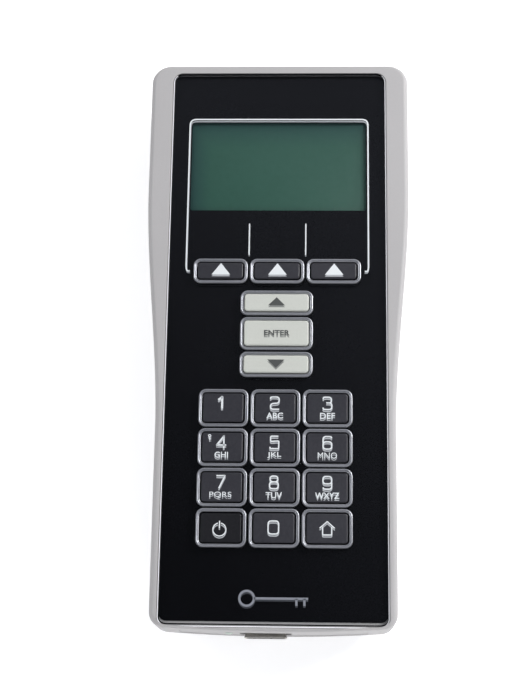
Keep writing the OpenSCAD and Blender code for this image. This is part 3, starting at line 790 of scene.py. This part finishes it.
def makeRearShell():
    shell = rearOuter("rearShell")
    rings = [atHeight(caseOutline(side, end), z) for side, end,
             z in rearLevels(case["wall"], case["floor"], 9)]
    rings.append(atHeight(caseOutline(case["wall"], case["wall"]), partZ + 3))
    cavity = addPiece("cavity", stack(rings), caseGrey, flat=True)
    runTop = doorHigh.z + door["tray"]
    cavity = shapeWith(cavity, "DIFFERENCE",
                       drums("pillars", screwPlaces, rear["pillar"], 0, partZ),
                       block("tray", (-doorHigh.x - 2, endY - 1, 0),
                             (doorHigh.x + 2, doorHigh.y + 2, runTop)),
                       block("bayBlock", (-bay["half"] - bay["wall"], bay["low"] - bay["wall"], 0),
                             (bay["half"] + bay["wall"], bay["high"] + bay["wall"], partZ + 9)))
    shell = shapeWith(shell, "DIFFERENCE", cavity)
    lipT, lipH = case["lip"]
    inner, outer = case["wall"], case["wall"] - lipT
    lip = stack([atHeight(caseOutline(inner, inner), partZ - 1),
                 atHeight(caseOutline(outer, outer), partZ - 1),
                 atHeight(caseOutline(outer, outer), partZ + lipH), atHeight(caseOutline(inner, inner),
                                                                             partZ + lipH)],
                loop=True)
    reach = 0.02
    crown = block("crown", (-bay["half"] - bay["wall"] - reach, bay["low"] - bay["wall"] - reach, partZ - 2),
                  (bay["half"] + bay["wall"] + reach, bay["high"] + bay["wall"] + reach,
                   bay["top"] + bay["wall"]), 0.6)
    shell = shapeWith(shell, "UNION", addPiece("lip", lip, caseGrey, flat=True), crown)
    shell = shapeWith(shell, "DIFFERENCE",
                      block("bayRoom", (-bay["half"], bay["low"], 0),
                            (bay["half"], bay["high"], bay["top"]), 0.4),
                      doorRun("doorSlot", door["gap"], doorHigh.y + door["gap"]),
                      drums("bores", screwPlaces, rear["bore"], 0, partZ + 1),
                      drums("counterbores", screwPlaces, rear["headBore"], 0, screwSeatZ),
                      drums("footSeats", footPlaces, rear["footSeat"], 0, baseZ + rear["footDepth"]))
    smoothen(shell, 30)
    evenNormals(shell)
    mount(shell, "case", "case_grey", "rear_shell")


thumb = {"count": 6, "pitch": 2.2, "length": 16.0, "radius": 0.75, "depth": 0.35, "arrow": (9.0, 4.5)}


def makeDoor():
    panel = rearOuter("batteryDoor")
    panel = shapeWith(panel, "INTERSECT", doorRun("doorShape", 0, doorHigh.y))
    firstY = bay["low"] + 3
    grooves = growPiece("grooves", grooveTree(), [(0, firstY, baseZ - thumb["radius"] + thumb["depth"])],
                        {"Count": thumb["count"], "Pitch": thumb["pitch"], "Length": thumb["length"],
                         "Radius": thumb["radius"], "Material": caseGrey})
    arrowY = firstY + thumb["pitch"] * thumb["count"] + 3
    wide, tall = thumb["arrow"]
    arrow = bmesh.new()
    slab([(0, baseZ - 1), (0, baseZ + thumb["depth"])],
         lambda grow: [(-wide / 2, arrowY + tall), (0, arrowY), (wide / 2, arrowY + tall)], mesh=arrow)
    panel = shapeWith(panel, "DIFFERENCE", grooves, addPiece("arrow", arrow, caseGrey, flat=True))
    panel.data.materials.clear()
    panel.data.materials.append(doorGrey)
    smoothen(panel, 30)
    evenNormals(panel)
    mount(panel, "battery_door", "case_grey", "battery_door")


makeFrontShell()
makeRearShell()
makeDoor()
print("case and battery door are made")

# Clear plate, printed film, collars

plate = {"edge": 0.3, "holeEdge": 0.1, "corner": 3.4, "gap": 0.12, "filmUp": 0.26}


def gentler(shape, share):
    return lambda grow=0: shape(grow * share)


def makePlate():
    centre = (0, (plateLow.y + plateHigh.y) / 2)
    size = (2 * (plateHigh.x - plate["gap"]), plateHigh.y - plateLow.y - 2 * plate["gap"])
    outer = rounded(size, plate["corner"] - plate["gap"], centre, 12)
    # The webs between the holes are thin, so their edges are rounded less than the outer one
    share = plate["holeEdge"] / plate["edge"]
    holes = [gentler(collarHole(name), share) for name in keyNames]
    profile = softEdges(plateLow.z, plateHigh.z, plate["edge"])
    mesh = slab(profile, outer, holes)
    mesh.faces.ensure_lookup_table()
    perStrip = len(outer(0))
    for i, face in enumerate(mesh.faces):
        strip = i // perStrip
        if abs(face.normal.z) < 0.1:
            face.material_index = 1               # walls are painted black from outside
        elif len(profile) // 2 <= strip < len(profile) - 1:
            middle = face.calc_center_median()
            # Upper bevel: black at the head end, a painted highlight on the right, a brighter glowing painted
            # highlight on the left
            face.material_index = 1 if middle.y > plateHigh.y - 1 else 2 if middle.x > 0 else 3
    piece = addPiece("clearPlate", mesh, plateClear, filmBlack, plateRimPaintedHighlight, plateRimBrightPaintedHighlight, flat=True)
    mount(piece, "case", "clear_plate", "faceplate")


filmTopZ = filmHigh.z - 0.06                      # leaves room for the pale print under the plate


def makeFilm():
    more = plate["filmUp"]
    outer = rounded((2 * filmHigh.x, filmHigh.y - filmLow.y + more), 2.6, (0, printY + more / 2), 12)
    holes = [collarHole(name) for name in keyNames] + [rounded(windowSize, 0.8, windowMiddle)]
    film = addPiece("printedFilm", slab([(0, filmLow.z), (0, filmTopZ)], outer, holes), filmBlack, flat=True)
    mount(film, "case", "black_print", "mask_film")


def makeCollars():
    tree = collarTree()
    groups = {}
    for name in keyNames:
        middle, face, low, high = keyPlan(name)
        groups.setdefault(collarSize(face), []).append((*middle, 0))
    rings = []
    for size, places in groups.items():
        for inset, width, drop, edge in collar["ridges"]:
            rings.append(growPiece("collars", tree, places,
                                   {"Width": size[0], "Height": size[1], "Corner": collar["corner"],
                                    "Inset": inset, "Wall": width, "Low": webZ + drop,
                                    "High": surroundHigh.z - drop, "Edge": edge, "Material": collarSilver}))
    whole = slab([(0, webZ), (0, seatZ - 0.02)], rounded(webSize, 2.88, webMiddle),
                 [collarHole(name, -0.3) for name in keyNames])
    bmesh.ops.scale(whole, vec=(mm, mm, mm), verts=whole.verts)
    for ring in rings:
        whole.from_mesh(ring.data)
        bpy.data.objects.remove(ring)
    bmesh.ops.scale(whole, vec=(1 / mm,) * 3, verts=whole.verts)
    piece = addPiece("keyCollars", whole, collarSilver)
    mount(piece, "case", "collar_silver", "key_surround")


makePlate()
makeFilm()
makeCollars()
print("clear plate, film and collars are made")

# Keys and their legends

keyCap = {"edge": 0.4, "lightEdge": 0.5, "flangeT": 0.95, "trim": 0.12, "lightTrim": -0.07}
lightKeys = ("key_up", "key_enter", "key_down")


def makeKeycap(name):
    middle, face, low, high = keyPlan(name)
    isLight = name in lightKeys
    edge = keyCap["lightEdge"] if isLight else keyCap["edge"]
    top = high - 0.06 if isLight else high
    radius = collar["corner"] - collar["wall"] - keyGap
    wall = topEdge(low + keyCap["flangeT"], top, edge)
    cut = keyCap["lightTrim"] if isLight else keyCap["trim"]
    wall = [(grow - cut, z) for grow, z in wall]
    profile = [(keyFlange, low), (keyFlange, low + keyCap["flangeT"])] + wall
    colour = keyLight if isLight else keyBlack if name == "key_power" else keyDark
    cap = addPiece(name.replace("key", "keycap"), slab(profile, rounded(face, radius, middle)), colour)
    evenNormals(cap)
    mount(cap, name, "key_light" if isLight else "key_dark", name)
    return top


legend = {
    "digit": (3.35, 4.7),                         # width and height over the strokes
    "zero": (3.9, 4.75),
    "stroke": 0.45,
    "bold": {"1": 0.7, "4": 0.52},                # digits with a wider stroke
    "lean": 0.17,                                 # shift to the left, more in the left column
    "bend": 1.05,                                 # rounding of a digit's corners
    "bends": {"1": 0.05, "4": 0.05, "7": 0.05, "5": 0.4},
    "digitUp": 1.6,                               # digit's middle above the key's middle
    "lettersDown": 2.7,
    "lettersHigh": 2.05,
    "thick": 0.1,
    "paintedReflectionDrop": 0.65,                                 # how far the painted reflection, a faint second copy, lies below
}
# Centre lines of the digits in a box of one by one: (closed, points)
digits = {
    "1": [(False, [(0.05, 0.74), (0.55, 1), (0.55, 0)])],
    "2": [(False, [(0, 0.84), (0, 1), (1, 1), (1, 0.5), (0, 0.45), (0, 0), (1, 0)])],
    "3": [(False, [(0, 0.84), (0, 1), (0.95, 1), (0.95, 0.54), (0.35, 0.54)]),
          (False, [(0.35, 0.54), (1, 0.54), (1, 0), (0, 0), (0, 0.16)])],
    "4": [(False, [(0.78, 0), (0.78, 1), (-0.06, 0.26), (1.06, 0.26)])],
    "5": [(False, [(0.95, 1), (0.06, 1), (0.06, 0.58), (1, 0.62), (1, 0), (0, 0), (0, 0.14)])],
    "6": [(False, [(0.96, 0.86), (0.96, 1), (0, 1), (0, 0.5)]),
          (True, [(0, 0), (1, 0), (1, 0.58), (0, 0.58)])],
    "7": [(False, [(0, 1), (1, 1), (0.3, 0)])],
    "8": [(True, [(0.06, 0.54), (0.94, 0.54), (0.94, 1), (0.06, 1)]),
          (True, [(0, 0), (1, 0), (1, 0.54), (0, 0.54)])],
    "9": [(True, [(0, 0.42), (1, 0.42), (1, 1), (0, 1)]),
          (False, [(1, 0.5), (1, 0), (0.04, 0), (0.04, 0.14)])],
    "0": [(True, [(0, 0), (1, 0), (1, 1), (0, 1)])],
}
# Text, width and weight; M and Q only give a clean solid without added weight
letters = {"2": ("ABC", 5.6, 0.015), "3": ("DEF", 5.0, 0.015), "4": ("GHI", 4.5, 0.015),
           "5": ("JKL", 4.6, 0.015),
           "6": ("MNO", 6.4, 0), "7": ("PQRS", 7.3, 0), "8": ("TUV", 5.4, 0.015), "9": ("WXYZ", 8.0, 0.015)}


def roundPath(points, bend, closed):
    # Each corner becomes a short curve that starts and ends bend away from it, or less on a short side
    path = []
    count = len(points)
    for i, point in enumerate(points):
        point = Vector(point)
        if not closed and i in (0, count - 1):
            path.append(point)
            continue
        before, after = Vector(points[i - 1]) - point, Vector(points[(i + 1) % count]) - point
        start = point + before.normalized() * min(bend, before.length * 0.48)
        end = point + after.normalized() * min(bend, after.length * 0.48)
        for step in range(6):
            t = step / 5
            path.append(start * (1 - t) ** 2 + point * 2 * t * (1 - t) + end * t * t)
    return path


def drawStroke(mesh, path, closed, width, low, high):
    # Flat ribbon of even width along a path, as a closed solid
    strands = [[], [], [], []]
    count = len(path)
    for i, point in enumerate(path):
        ahead = (path[(i + 1) % count] - point).normalized() if closed or i < count - 1 else None
        behind = (point - path[i - 1]).normalized() if closed or i else ahead
        ahead = ahead or behind
        along = (ahead + behind).normalized()
        across = Vector((-along.y, along.x)) * (width / 2 / max(along.dot(ahead), 0.4))
        for strand, (side, z) in zip(strands, ((-1, low), (1, low), (1, high), (-1, high))):
            spot = point + across * side
            strand.append(mesh.verts.new((spot.x, spot.y, z)))
    for i in range(count if closed else count - 1):
        k = (i + 1) % count
        for a, b in zip(strands, strands[1:] + strands[:1]):
            mesh.faces.new((a[i], b[i], b[k], a[k]))
    if not closed:
        mesh.faces.new([strand[0] for strand in strands])
        mesh.faces.new([strand[-1] for strand in strands])


def drawGlyph(mesh, strokes, size, middle, width, low, high, bend):
    spanX, spanY = size[0] - width, size[1] - width
    for i, (closed, points) in enumerate(strokes):
        high += 0.02 * bool(i)                    # strokes that cross don't share a face
        placed = [(middle[0] + (x - 0.5) * spanX, middle[1] + (y - 0.5) * spanY) for x, y in points]
        drawStroke(mesh, roundPath(placed, bend, closed), closed, width, low, high)


def drawLetters(mesh, text, width, height, middle, low, high, weight=0.0):
    # Plain lettering scaled to its box
    data = bpy.data.curves.new("letters", "FONT")
    data.body = text
    data.extrude = 0.5
    data.offset = weight
    data.resolution_u = 4
    holder = bpy.data.objects.new("letters", data)
    scene.collection.objects.link(holder)
    graph = bpy.context.evaluated_depsgraph_get()
    made = bpy.data.meshes.new_from_object(holder.evaluated_get(graph), depsgraph=graph)
    bpy.data.objects.remove(holder)
    one = bmesh.new()
    one.from_mesh(made)
    bmesh.ops.remove_doubles(one, verts=one.verts, dist=1e-5)
    xs, ys = [v.co.x for v in one.verts], [v.co.y for v in one.verts]
    for v in one.verts:
        v.co = (middle[0] + ((v.co.x - min(xs)) / (max(xs) - min(xs)) - 0.5) * width,
                middle[1] + ((v.co.y - min(ys)) / (max(ys) - min(ys)) - 0.5) * height,
                high if v.co.z > 0 else low)
    one.to_mesh(made)
    one.free()
    mesh.from_mesh(made)
    bpy.data.meshes.remove(made)


def drawShape(mesh, points, low, high):
    slab([(0, low), (0, high)], lambda grow: points, mesh=mesh)


def drawPowerSign(mesh, middle, low, high):
    radius, gap = 2.15, 13
    arc = [Vector((middle[0] + radius * cos(radians(a)), middle[1] + radius * sin(radians(a))))
           for a in [90 + gap + (360 - 2 * gap) * i / 32 for i in range(33)]]
    drawStroke(mesh, arc, False, 0.36, low, high)
    drawStroke(mesh, [Vector((middle[0], middle[1] + y)) for y in (0.5, 2.9)], False, 0.42, low, high)


def drawHouseSign(mesh, middle, low, high):
    roof = [Vector((middle[0] + x, middle[1] + y)) for x, y in ((-2.5, 0.1), (0, 2.3), (2.5, 0.1))]
    walls = [(middle[0] + x, middle[1] + y) for x, y in ((-1.5, 0.6), (-1.5, -2.1), (1.5, -2.1), (1.5, 0.6))]
    drawStroke(mesh, roof, False, 0.36, low, high)
    drawStroke(mesh, roundPath(walls, 0.3, False), False, 0.42, low, high)


def drawTinyKey(mesh, middle, low, high):
    ring = [Vector((middle[0] + 0.38 * cos(2 * pi * i / 16), middle[1] + 0.45 + 0.38 * sin(2 * pi * i / 16)))
            for i in range(16)]
    drawStroke(mesh, ring, True, 0.3, low, high)
    drawStroke(mesh, [Vector((middle[0], middle[1] + y)) for y in (0.0, -1.0)], False, 0.3, low, high + 0.02)
    drawStroke(mesh, [Vector((middle[0] + x, middle[1] - 0.7)) for x in (0.0, 0.5)], False, 0.3, low, high)


def drawLegend(mesh, name, middle, low, high):
    mark = name[4:]
    x, y = middle
    if mark in digits or mark == "home":
        x -= legend["lean"] * (1 - x / 17.5)
    if mark == "0":
        drawGlyph(mesh, digits[mark], legend["zero"], (x, y + 0.1), legend["stroke"], low, high, 1.1)
    elif mark in digits:
        width = legend["bold"].get(mark, legend["stroke"])
        drawGlyph(mesh, digits[mark], legend["digit"], (x - 0.2 * (mark == "1"), y + legend["digitUp"]),
                  width,
                  low, high, legend["bends"].get(mark, legend["bend"]))
        if mark == "4":
            drawTinyKey(mesh, (x - 4.0, y + 3.3), low, high)
        if mark in letters:
            text, wide, weight = letters[mark]
            drawLetters(mesh, text, wide, legend["lettersHigh"], (x, y - legend["lettersDown"]), low,
                        high, weight)
    elif mark == "power":
        drawPowerSign(mesh, (x - 0.45, y - 0.6), low, high)
    elif mark == "home":
        drawHouseSign(mesh, (x, y - 0.1), low, high)
    elif mark.startswith("soft"):
        drawShape(mesh, [(x - 3.05, y - 1.5), (x + 3.35, y - 1.5), (x + 0.15, y + 2.65)], low, high)
    elif mark == "enter":
        drawLetters(mesh, "ENTER", 8.7, 1.9, (x + 0.2, y), low, high, 0.025)
    else:
        up = 1 if mark == "up" else -1
        y += 0.3 * (up > 0)
        drawShape(mesh, [(x - 2.9, y - 1.45 * up), (x + 2.9, y - 1.45 * up), (x, y + 1.45 * up)][::up],
                  low, high)


def makeLegend(name, top):
    middle = keyPlan(name)[0]
    isLight = name in lightKeys
    thick = 0.05 if isLight else legend["thick"]
    mesh = bmesh.new()
    drawLegend(mesh, name, middle, top, top + thick)
    first = len(mesh.faces)
    # A dimmer copy lower on the cap: the legend's painted reflection
    drawLegend(mesh, name, (middle[0], middle[1] - legend["paintedReflectionDrop"]), top, top + 0.02)
    mesh.faces.ensure_lookup_table()
    for face in mesh.faces[first:]:
        face.material_index = 1
    bmesh.ops.recalc_face_normals(mesh, faces=mesh.faces)
    inks = (printGrey, printGreyPaintedReflection) if isLight else (printPale, printPaintedReflection)
    piece = addPiece(name.replace("key", "legend"), mesh, *inks, flat=True)
    mount(piece, name, "key_light" if isLight else "key_dark")


for name in keyNames:
    makeLegend(name, makeKeycap(name))
print("keys and legends are made:", len(keyNames))

# Print round the display and the mark at the end

trim = {
    "half": 31.5, "top": 79.3, "low": 22.6, "hook": 1.3, "bend": 2.2, "stroke": 0.5,
    "tickX": 9.8, "tickLow": 28.6, "tickHigh": 40.0, "tickStroke": 0.42,
    "markLow": -92.2, "markHigh": -86.7, "markHalf": 11.4,
}


def drawTrim(mesh, down, low, high):
    half = trim["half"]
    line = [(side * (half - back), printY + y - down) for side, back, y in (
        (-1, trim["hook"], trim["low"]), (-1, 0, trim["low"]), (-1, 0, trim["top"]),
        (1, 0, trim["top"]), (1, 0, trim["low"]), (1, trim["hook"], trim["low"]))]
    drawStroke(mesh, roundPath(line, trim["bend"], False), False, trim["stroke"], low, high)
    for side in (-1, 1):
        tick = [Vector((side * trim["tickX"], printY + y - down)) for y in (trim["tickLow"],
                                                                            trim["tickHigh"])]
        drawStroke(mesh, tick, False, trim["tickStroke"], low, high)


def drawMark(mesh, down, low, high):
    # A plain key on its side: bow, shank and two teeth
    middleY = printY + (trim["markLow"] + trim["markHigh"]) / 2 - down
    bow = (trim["markHigh"] - trim["markLow"]) / 2 - 0.35
    bowX = -trim["markHalf"] + bow + 0.4
    ring = [Vector((bowX + bow * cos(2 * pi * i / 32),
                    middleY + bow * sin(2 * pi * i / 32))) for i in range(32)]
    drawStroke(mesh, ring, True, 0.75, low, high)
    drawStroke(mesh, [Vector((x, middleY)) for x in (bowX + bow, trim["markHalf"])], False, 0.75, low, high)
    for x in (trim["markHalf"] - 1.2, trim["markHalf"] - 3.8):
        drawStroke(mesh, [Vector((x, middleY + y)) for y in (0, -2.3)], False, 0.75, low, high)


printT = {"face": 0.03, "under": 0.04}            # on the plate's face and on the film under it


def makePrint(name, draw, down, *inks):
    mesh = bmesh.new()
    draw(mesh, 0, topZ, topZ + printT["face"])
    first = len(mesh.faces)
    # its painted reflection: a faint copy on the film, under the clear plate
    draw(mesh, down, filmTopZ, filmTopZ + printT["under"])
    mesh.faces.ensure_lookup_table()
    for face in mesh.faces[first:]:
        face.material_index = 1
    bmesh.ops.recalc_face_normals(mesh, faces=mesh.faces)
    mount(addPiece(name, mesh, *inks, flat=True), "case", "black_print")


stripe = {"down": 0.95, "width": 0.35, "bend": 2.9, "up": 4.5, "in": 0.12}


def makeStripe():
    # Dark line below the film, seen through the clear edge of the plate
    half = filmHigh.x - stripe["in"]
    y = filmLow.y - stripe["down"]
    line = [(-half, y + stripe["up"]), (-half, y), (half, y), (half, y + stripe["up"])]
    mesh = bmesh.new()
    drawStroke(mesh, roundPath(line, stripe["bend"], False), False, stripe["width"], filmLow.z,
               filmTopZ - 0.03)
    bmesh.ops.recalc_face_normals(mesh, faces=mesh.faces)
    mount(addPiece("edgeStripe", mesh, filmBlack, flat=True), "case", "black_print")


makePrint("displayTrim", drawTrim, 0, printPale, printPaintedReflection)
makePrint("keyMark", drawMark, 0.4, markPale, markPaintedReflection)
makeStripe()


# Painted shade on the display: its share, its colour and the widths of the bands at its head and its left edge
displayPaintedShade = {"share": 0.75, "colour": tone(34, 66, 66), "headBand": 9, "sideBand": 7}


def paintDisplayShade():
    # Painted shade: the panel turns darker and bluer towards its head and its left edge, where the window's
    # rim shades it
    tree = displayGreen.node_tree
    shader = tree.nodes["Principled BSDF"]
    plain = shader.inputs["Base Color"].links[0].from_socket
    place = node(tree, "ShaderNodeTexCoord").outputs["Object"]
    parts = node(tree, "ShaderNodeSeparateXYZ", {0: place}).outputs
    right, top = windowSize[0] / 2 * mm, (windowMiddle[1] + windowSize[1] / 2) * mm
    up = node(tree, "ShaderNodeMapRange",
              {"Value": parts["Y"], "From Min": top - displayPaintedShade["headBand"] * mm, "From Max": top})
    side = node(tree, "ShaderNodeMapRange",
                {"Value": parts["X"], "From Min": -right + displayPaintedShade["sideBand"] * mm, "From Max": -right})
    both = maths(tree, "MAXIMUM", up.outputs["Result"], side.outputs["Result"])
    share = maths(tree, "MULTIPLY", both, displayPaintedShade["share"])
    mixed = node(tree, "ShaderNodeMix", data_type="RGBA")
    tree.links.new(share, mixed.inputs[0])
    tree.links.new(plain, mixed.inputs[6])
    mixed.inputs[7].default_value = (*displayPaintedShade["colour"], 1)
    tree.links.new(mixed.outputs[2], shader.inputs["Base Color"])


def makeDisplay():
    size = (glassHigh.x - glassLow.x, glassHigh.y - glassLow.y)
    body = slab(softEdges(glassLow.z, glassHigh.z, 0.15), rounded(size, 0.4, windowMiddle))
    glass = addPiece("displayGlass", body, displayGreen)
    mount(glass, "case", "display_green", "lcd_glass")
    paintDisplayShade()


makeDisplay()
print("print and display are made")

# Socket end

endPart = {"mouth": (17.0, 7.6), "mouthCorner": 1.0, "lensProud": 0.4, "lensHole": 1.25, "socketBack": 0.3,
           "socketWall": 0.35, "socketFlare": 0.55}
socketMiddle = ((socketLow.x + socketHigh.x) / 2, (socketLow.z + socketHigh.z) / 2)
socketSize = (socketHigh.x - socketLow.x, socketHigh.z - socketLow.z)
lightLow, lightHigh = boxOf("status_light")
lightMiddle = ((lightLow.x + lightHigh.x) / 2, (lightLow.z + lightHigh.z) / 2)


def endDepth(x):
    # How far the bowed end face lies back at x
    span = gripHalf - case["endCorner"]
    return case["endBow"] * min(abs(x) / span, 1) ** 2


def denseEdges(ring, step=3.0):
    # Splits long straight sides so that they can follow the bow
    path = []
    for a, b in zip(ring, ring[1:] + ring[:1]):
        parts = max(1, int((Vector(b) - Vector(a)).length / step))
        path += [tuple(Vector(a).lerp(Vector(b), i / parts)) for i in range(parts)]
    return path


def makeEndPanel():
    back = case["wall"] + 0.05
    size = (2 * endWindow["half"], endWindow["height"])
    middle = (0, endWindow["top"] - endWindow["height"] / 2)
    mouth = rounded(endPart["mouth"], endPart["mouthCorner"], socketMiddle)
    hole = disc(endPart["lensHole"], lightMiddle, 32)
    profile = [(-0.1, endWindow["recess"]), (-0.03, endWindow["recess"] + 0.03),
               (0, endWindow["recess"] + 0.1),
               (0, back)]
    outer = lambda grow: [(x, y) for x, y in denseEdges(roundedRing(size, 0.4, middle, grow, 3))]
    mesh = standUp(slab(profile, outer, [mouth, hole]))
    for v in mesh.verts:
        v.co.y += endY + endDepth(v.co.x)
    bmesh.ops.recalc_face_normals(mesh, faces=mesh.faces)
    panel = addPiece("endPanel", mesh, caseGrey)
    evenNormals(panel)
    mount(panel, "case", "case_grey", "end_panel")


def makeSocket():
    wallT, flare = endPart["socketWall"], endPart["socketFlare"]
    front, back = socketLow.y + endPart["socketBack"], socketHigh.y
    outer = rounded(socketSize, 0.9, socketMiddle)
    mesh = bmesh.new()
    rings = []
    for grow, y in ((0, back), (0, front + 1.2), (flare * 0.35, front + 0.6), (flare, front),
                    (flare - wallT, front), (flare * 0.35 - wallT, front + 0.6), (-wallT, front + 1.2),
                    (-wallT, back - wallT)):
        rings.append([mesh.verts.new((x, y, z)) for x, z in outer(grow)])
    for low, high in zip(rings, rings[1:]):
        bridge(mesh, low, high)
    mesh.faces.new(rings[0])
    mesh.faces.new(rings[-1])
    bmesh.ops.recalc_face_normals(mesh, faces=mesh.faces)
    socket = addPiece("socketShell", mesh, socketSteel)
    mount(socket, "case", "socket_steel", "socket_shell")


def makeStatusLight():
    radius = (lightHigh.x - lightLow.x) / 2
    length = lightHigh.y - lightLow.y
    proud = endPart["lensProud"]
    dome = [(radius * cos(radians(a)), 0.35 - proud - 0.35 * sin(radians(a))) for a in range(0, 90, 15)][::-1]
    mesh = lathe([(0, -proud)] + dome + [(radius, length), (0, length)], steps=32)
    mesh.transform(Matrix.Translation((lightMiddle[0], lightLow.y,
                                       lightMiddle[1])) @ Matrix.Rotation(-pi / 2, 4, "X"))
    bmesh.ops.recalc_face_normals(mesh, faces=mesh.faces)
    mount(addPiece("statusLight", mesh, lightPipe), "case", "light_pipe", "status_light")


makeEndPanel()
makeSocket()
makeStatusLight()
print("socket end is made")

# Back: screws, feet, cells and springs

screw = {"headR": 2.5, "headH": 1.7, "shankR": 1.3, "shankL": 14.0, "cross": 3.2}
foot = {"radius": 4.0, "edge": 0.35}
spring = {"length": 3.8, "wire": 0.35, "wide": 3.9, "narrow": 2.2, "turns": 4}
cell = {"length": 50.45, "pitch": 50.5, "fromEnd": 4.55, "button": 2.75, "buttonH": 1.3, "edge": 0.6,
        "band": 13.0}


def makeScrews():
    piece = growPiece("caseScrews", screwTree(), [(x, y, screwSeatZ) for x, y in screwPlaces],
                      {"Head Radius": screw["headR"], "Head Height": screw["headH"],
                       "Shank Radius": screw["shankR"],
                       "Shank Length": screw["shankL"], "Cross": screw["cross"], "Material": screwSteel})
    smoothen(piece, 30)
    mount(piece, "case", "screw_steel", "case_screws")


def makeFeet():
    low, high = footLow.z, footHigh.z
    edge = foot["edge"]
    profile = [(0, low), (foot["radius"] - edge * 2, low), (foot["radius"] - edge * 0.8, low + edge * 0.2),
               (foot["radius"] - edge * 0.2, low + edge * 0.7), (foot["radius"], low + edge * 1.4),
               (foot["radius"], high), (0, high)]
    mesh = repeated(lambda: lathe(profile), [Matrix.Translation((x, y, 0)) for x, y in footPlaces])
    mount(addPiece("feet", mesh, footRubber), "case", "foot_rubber", "feet")


cellLow, cellHigh = boxOf("battery_cells")
cellRadius = (cellHigh.z - cellLow.z) / 2
columnX = cellHigh.x - cellRadius
cellZ = (cellLow.z + cellHigh.z) / 2
springLow, springHigh = boxOf("battery_springs")


def makeCells():
    length = cell["length"]
    r, edge = cellRadius, cell["edge"]
    body = length - cell["buttonH"]
    profile = [(0, 0.15), (r - 1.6, 0.15), (r - 1.2, 0), (r - edge, 0), (r - edge * 0.3, edge * 0.3),
               (r, edge),
               (r, body - cell["band"]), (r, body - edge), (r - edge * 0.3, body - edge * 0.3), (r - edge,
                                                                                                 body),
               (cell["button"] + 1.6, body), (cell["button"] + 1.3, body - 0.2), (cell["button"], body - 0.2),
               (cell["button"], length - 0.3), (cell["button"] - 0.3, length), (0, length)]
    steel = {0, 1, 9, 10, 11, 12, 13, 14}
    steps = 48

    def one():
        mesh = lathe(profile, steps=steps)
        mesh.faces.ensure_lookup_table()
        for i, face in enumerate(mesh.faces):
            strip = i // steps
            face.material_index = 2 if strip in steel else 1 if strip in (6, 7, 8) else 0
        return mesh

    turns = []
    for side in (-1, 1):
        for i in range(2):
            lie = Matrix.Rotation(-pi / 2, 4, "X")
            along = cell["fromEnd"] + i * cell["pitch"]
            shift = springLow.y + along if side < 0 else springHigh.y - along
            spin = Matrix.Identity(4) if side < 0 else Matrix.Rotation(pi, 4, "Z")
            turns.append(Matrix.Translation((side * columnX, shift, cellZ)) @ spin @ lie)
    mesh = repeated(one, turns)
    mount(addPiece("batteryCells", mesh, cellSleeve, cellBand, contactNickel), "case", "cell_sleeve",
          "battery_cells")


def makeSprings():
    tree = springTree()
    parts = []
    for side, y, tilt in ((-1, springLow.y, -pi / 2), (1, springHigh.y, pi / 2)):
        parts.append(growPiece("spring", tree, [(side * columnX, y, cellZ)],
                               {"Wire": spring["wire"], "Wide": spring["wide"], "Narrow": spring["narrow"],
                                "Length": spring["length"], "Turns": spring["turns"], "Tilt": (tilt, 0, 0),
                                "Material": springSteel}))
    whole = bmesh.new()
    for part in parts:
        whole.from_mesh(part.data)
        bpy.data.objects.remove(part)
    bmesh.ops.scale(whole, vec=(1 / mm,) * 3, verts=whole.verts)
    mount(addPiece("batterySprings", whole, springSteel), "case", "contact_plate", "battery_springs")


makeScrews()
makeFeet()
makeCells()
makeSprings()
print("back is made")

# Finishes of the parts that keep their own shape

keptFinishes = {
    "socket_insert": plasticBlack, "lcd_bezel": bezelSteel, "lcd_backlight": diffuserWhite,
    "lcd_board": boardGreen, "lcd_header": plasticBlack, "lcd_gasket": foamBlack, "main_board": boardGreen,
    "board_chips": plasticBlack, "keymat_sheet": siliconeGrey, "keymat_domes": siliconeGrey,
    "board_screws": screwSteel, "battery_contacts": contactNickel,
}
for name, dress in keptFinishes.items():
    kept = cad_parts[name]
    kept.data.materials.clear()
    kept.data.materials.append(dress)
print("kept parts are dressed:", len(keptFinishes))

scene.view_settings.view_transform = "Standard"
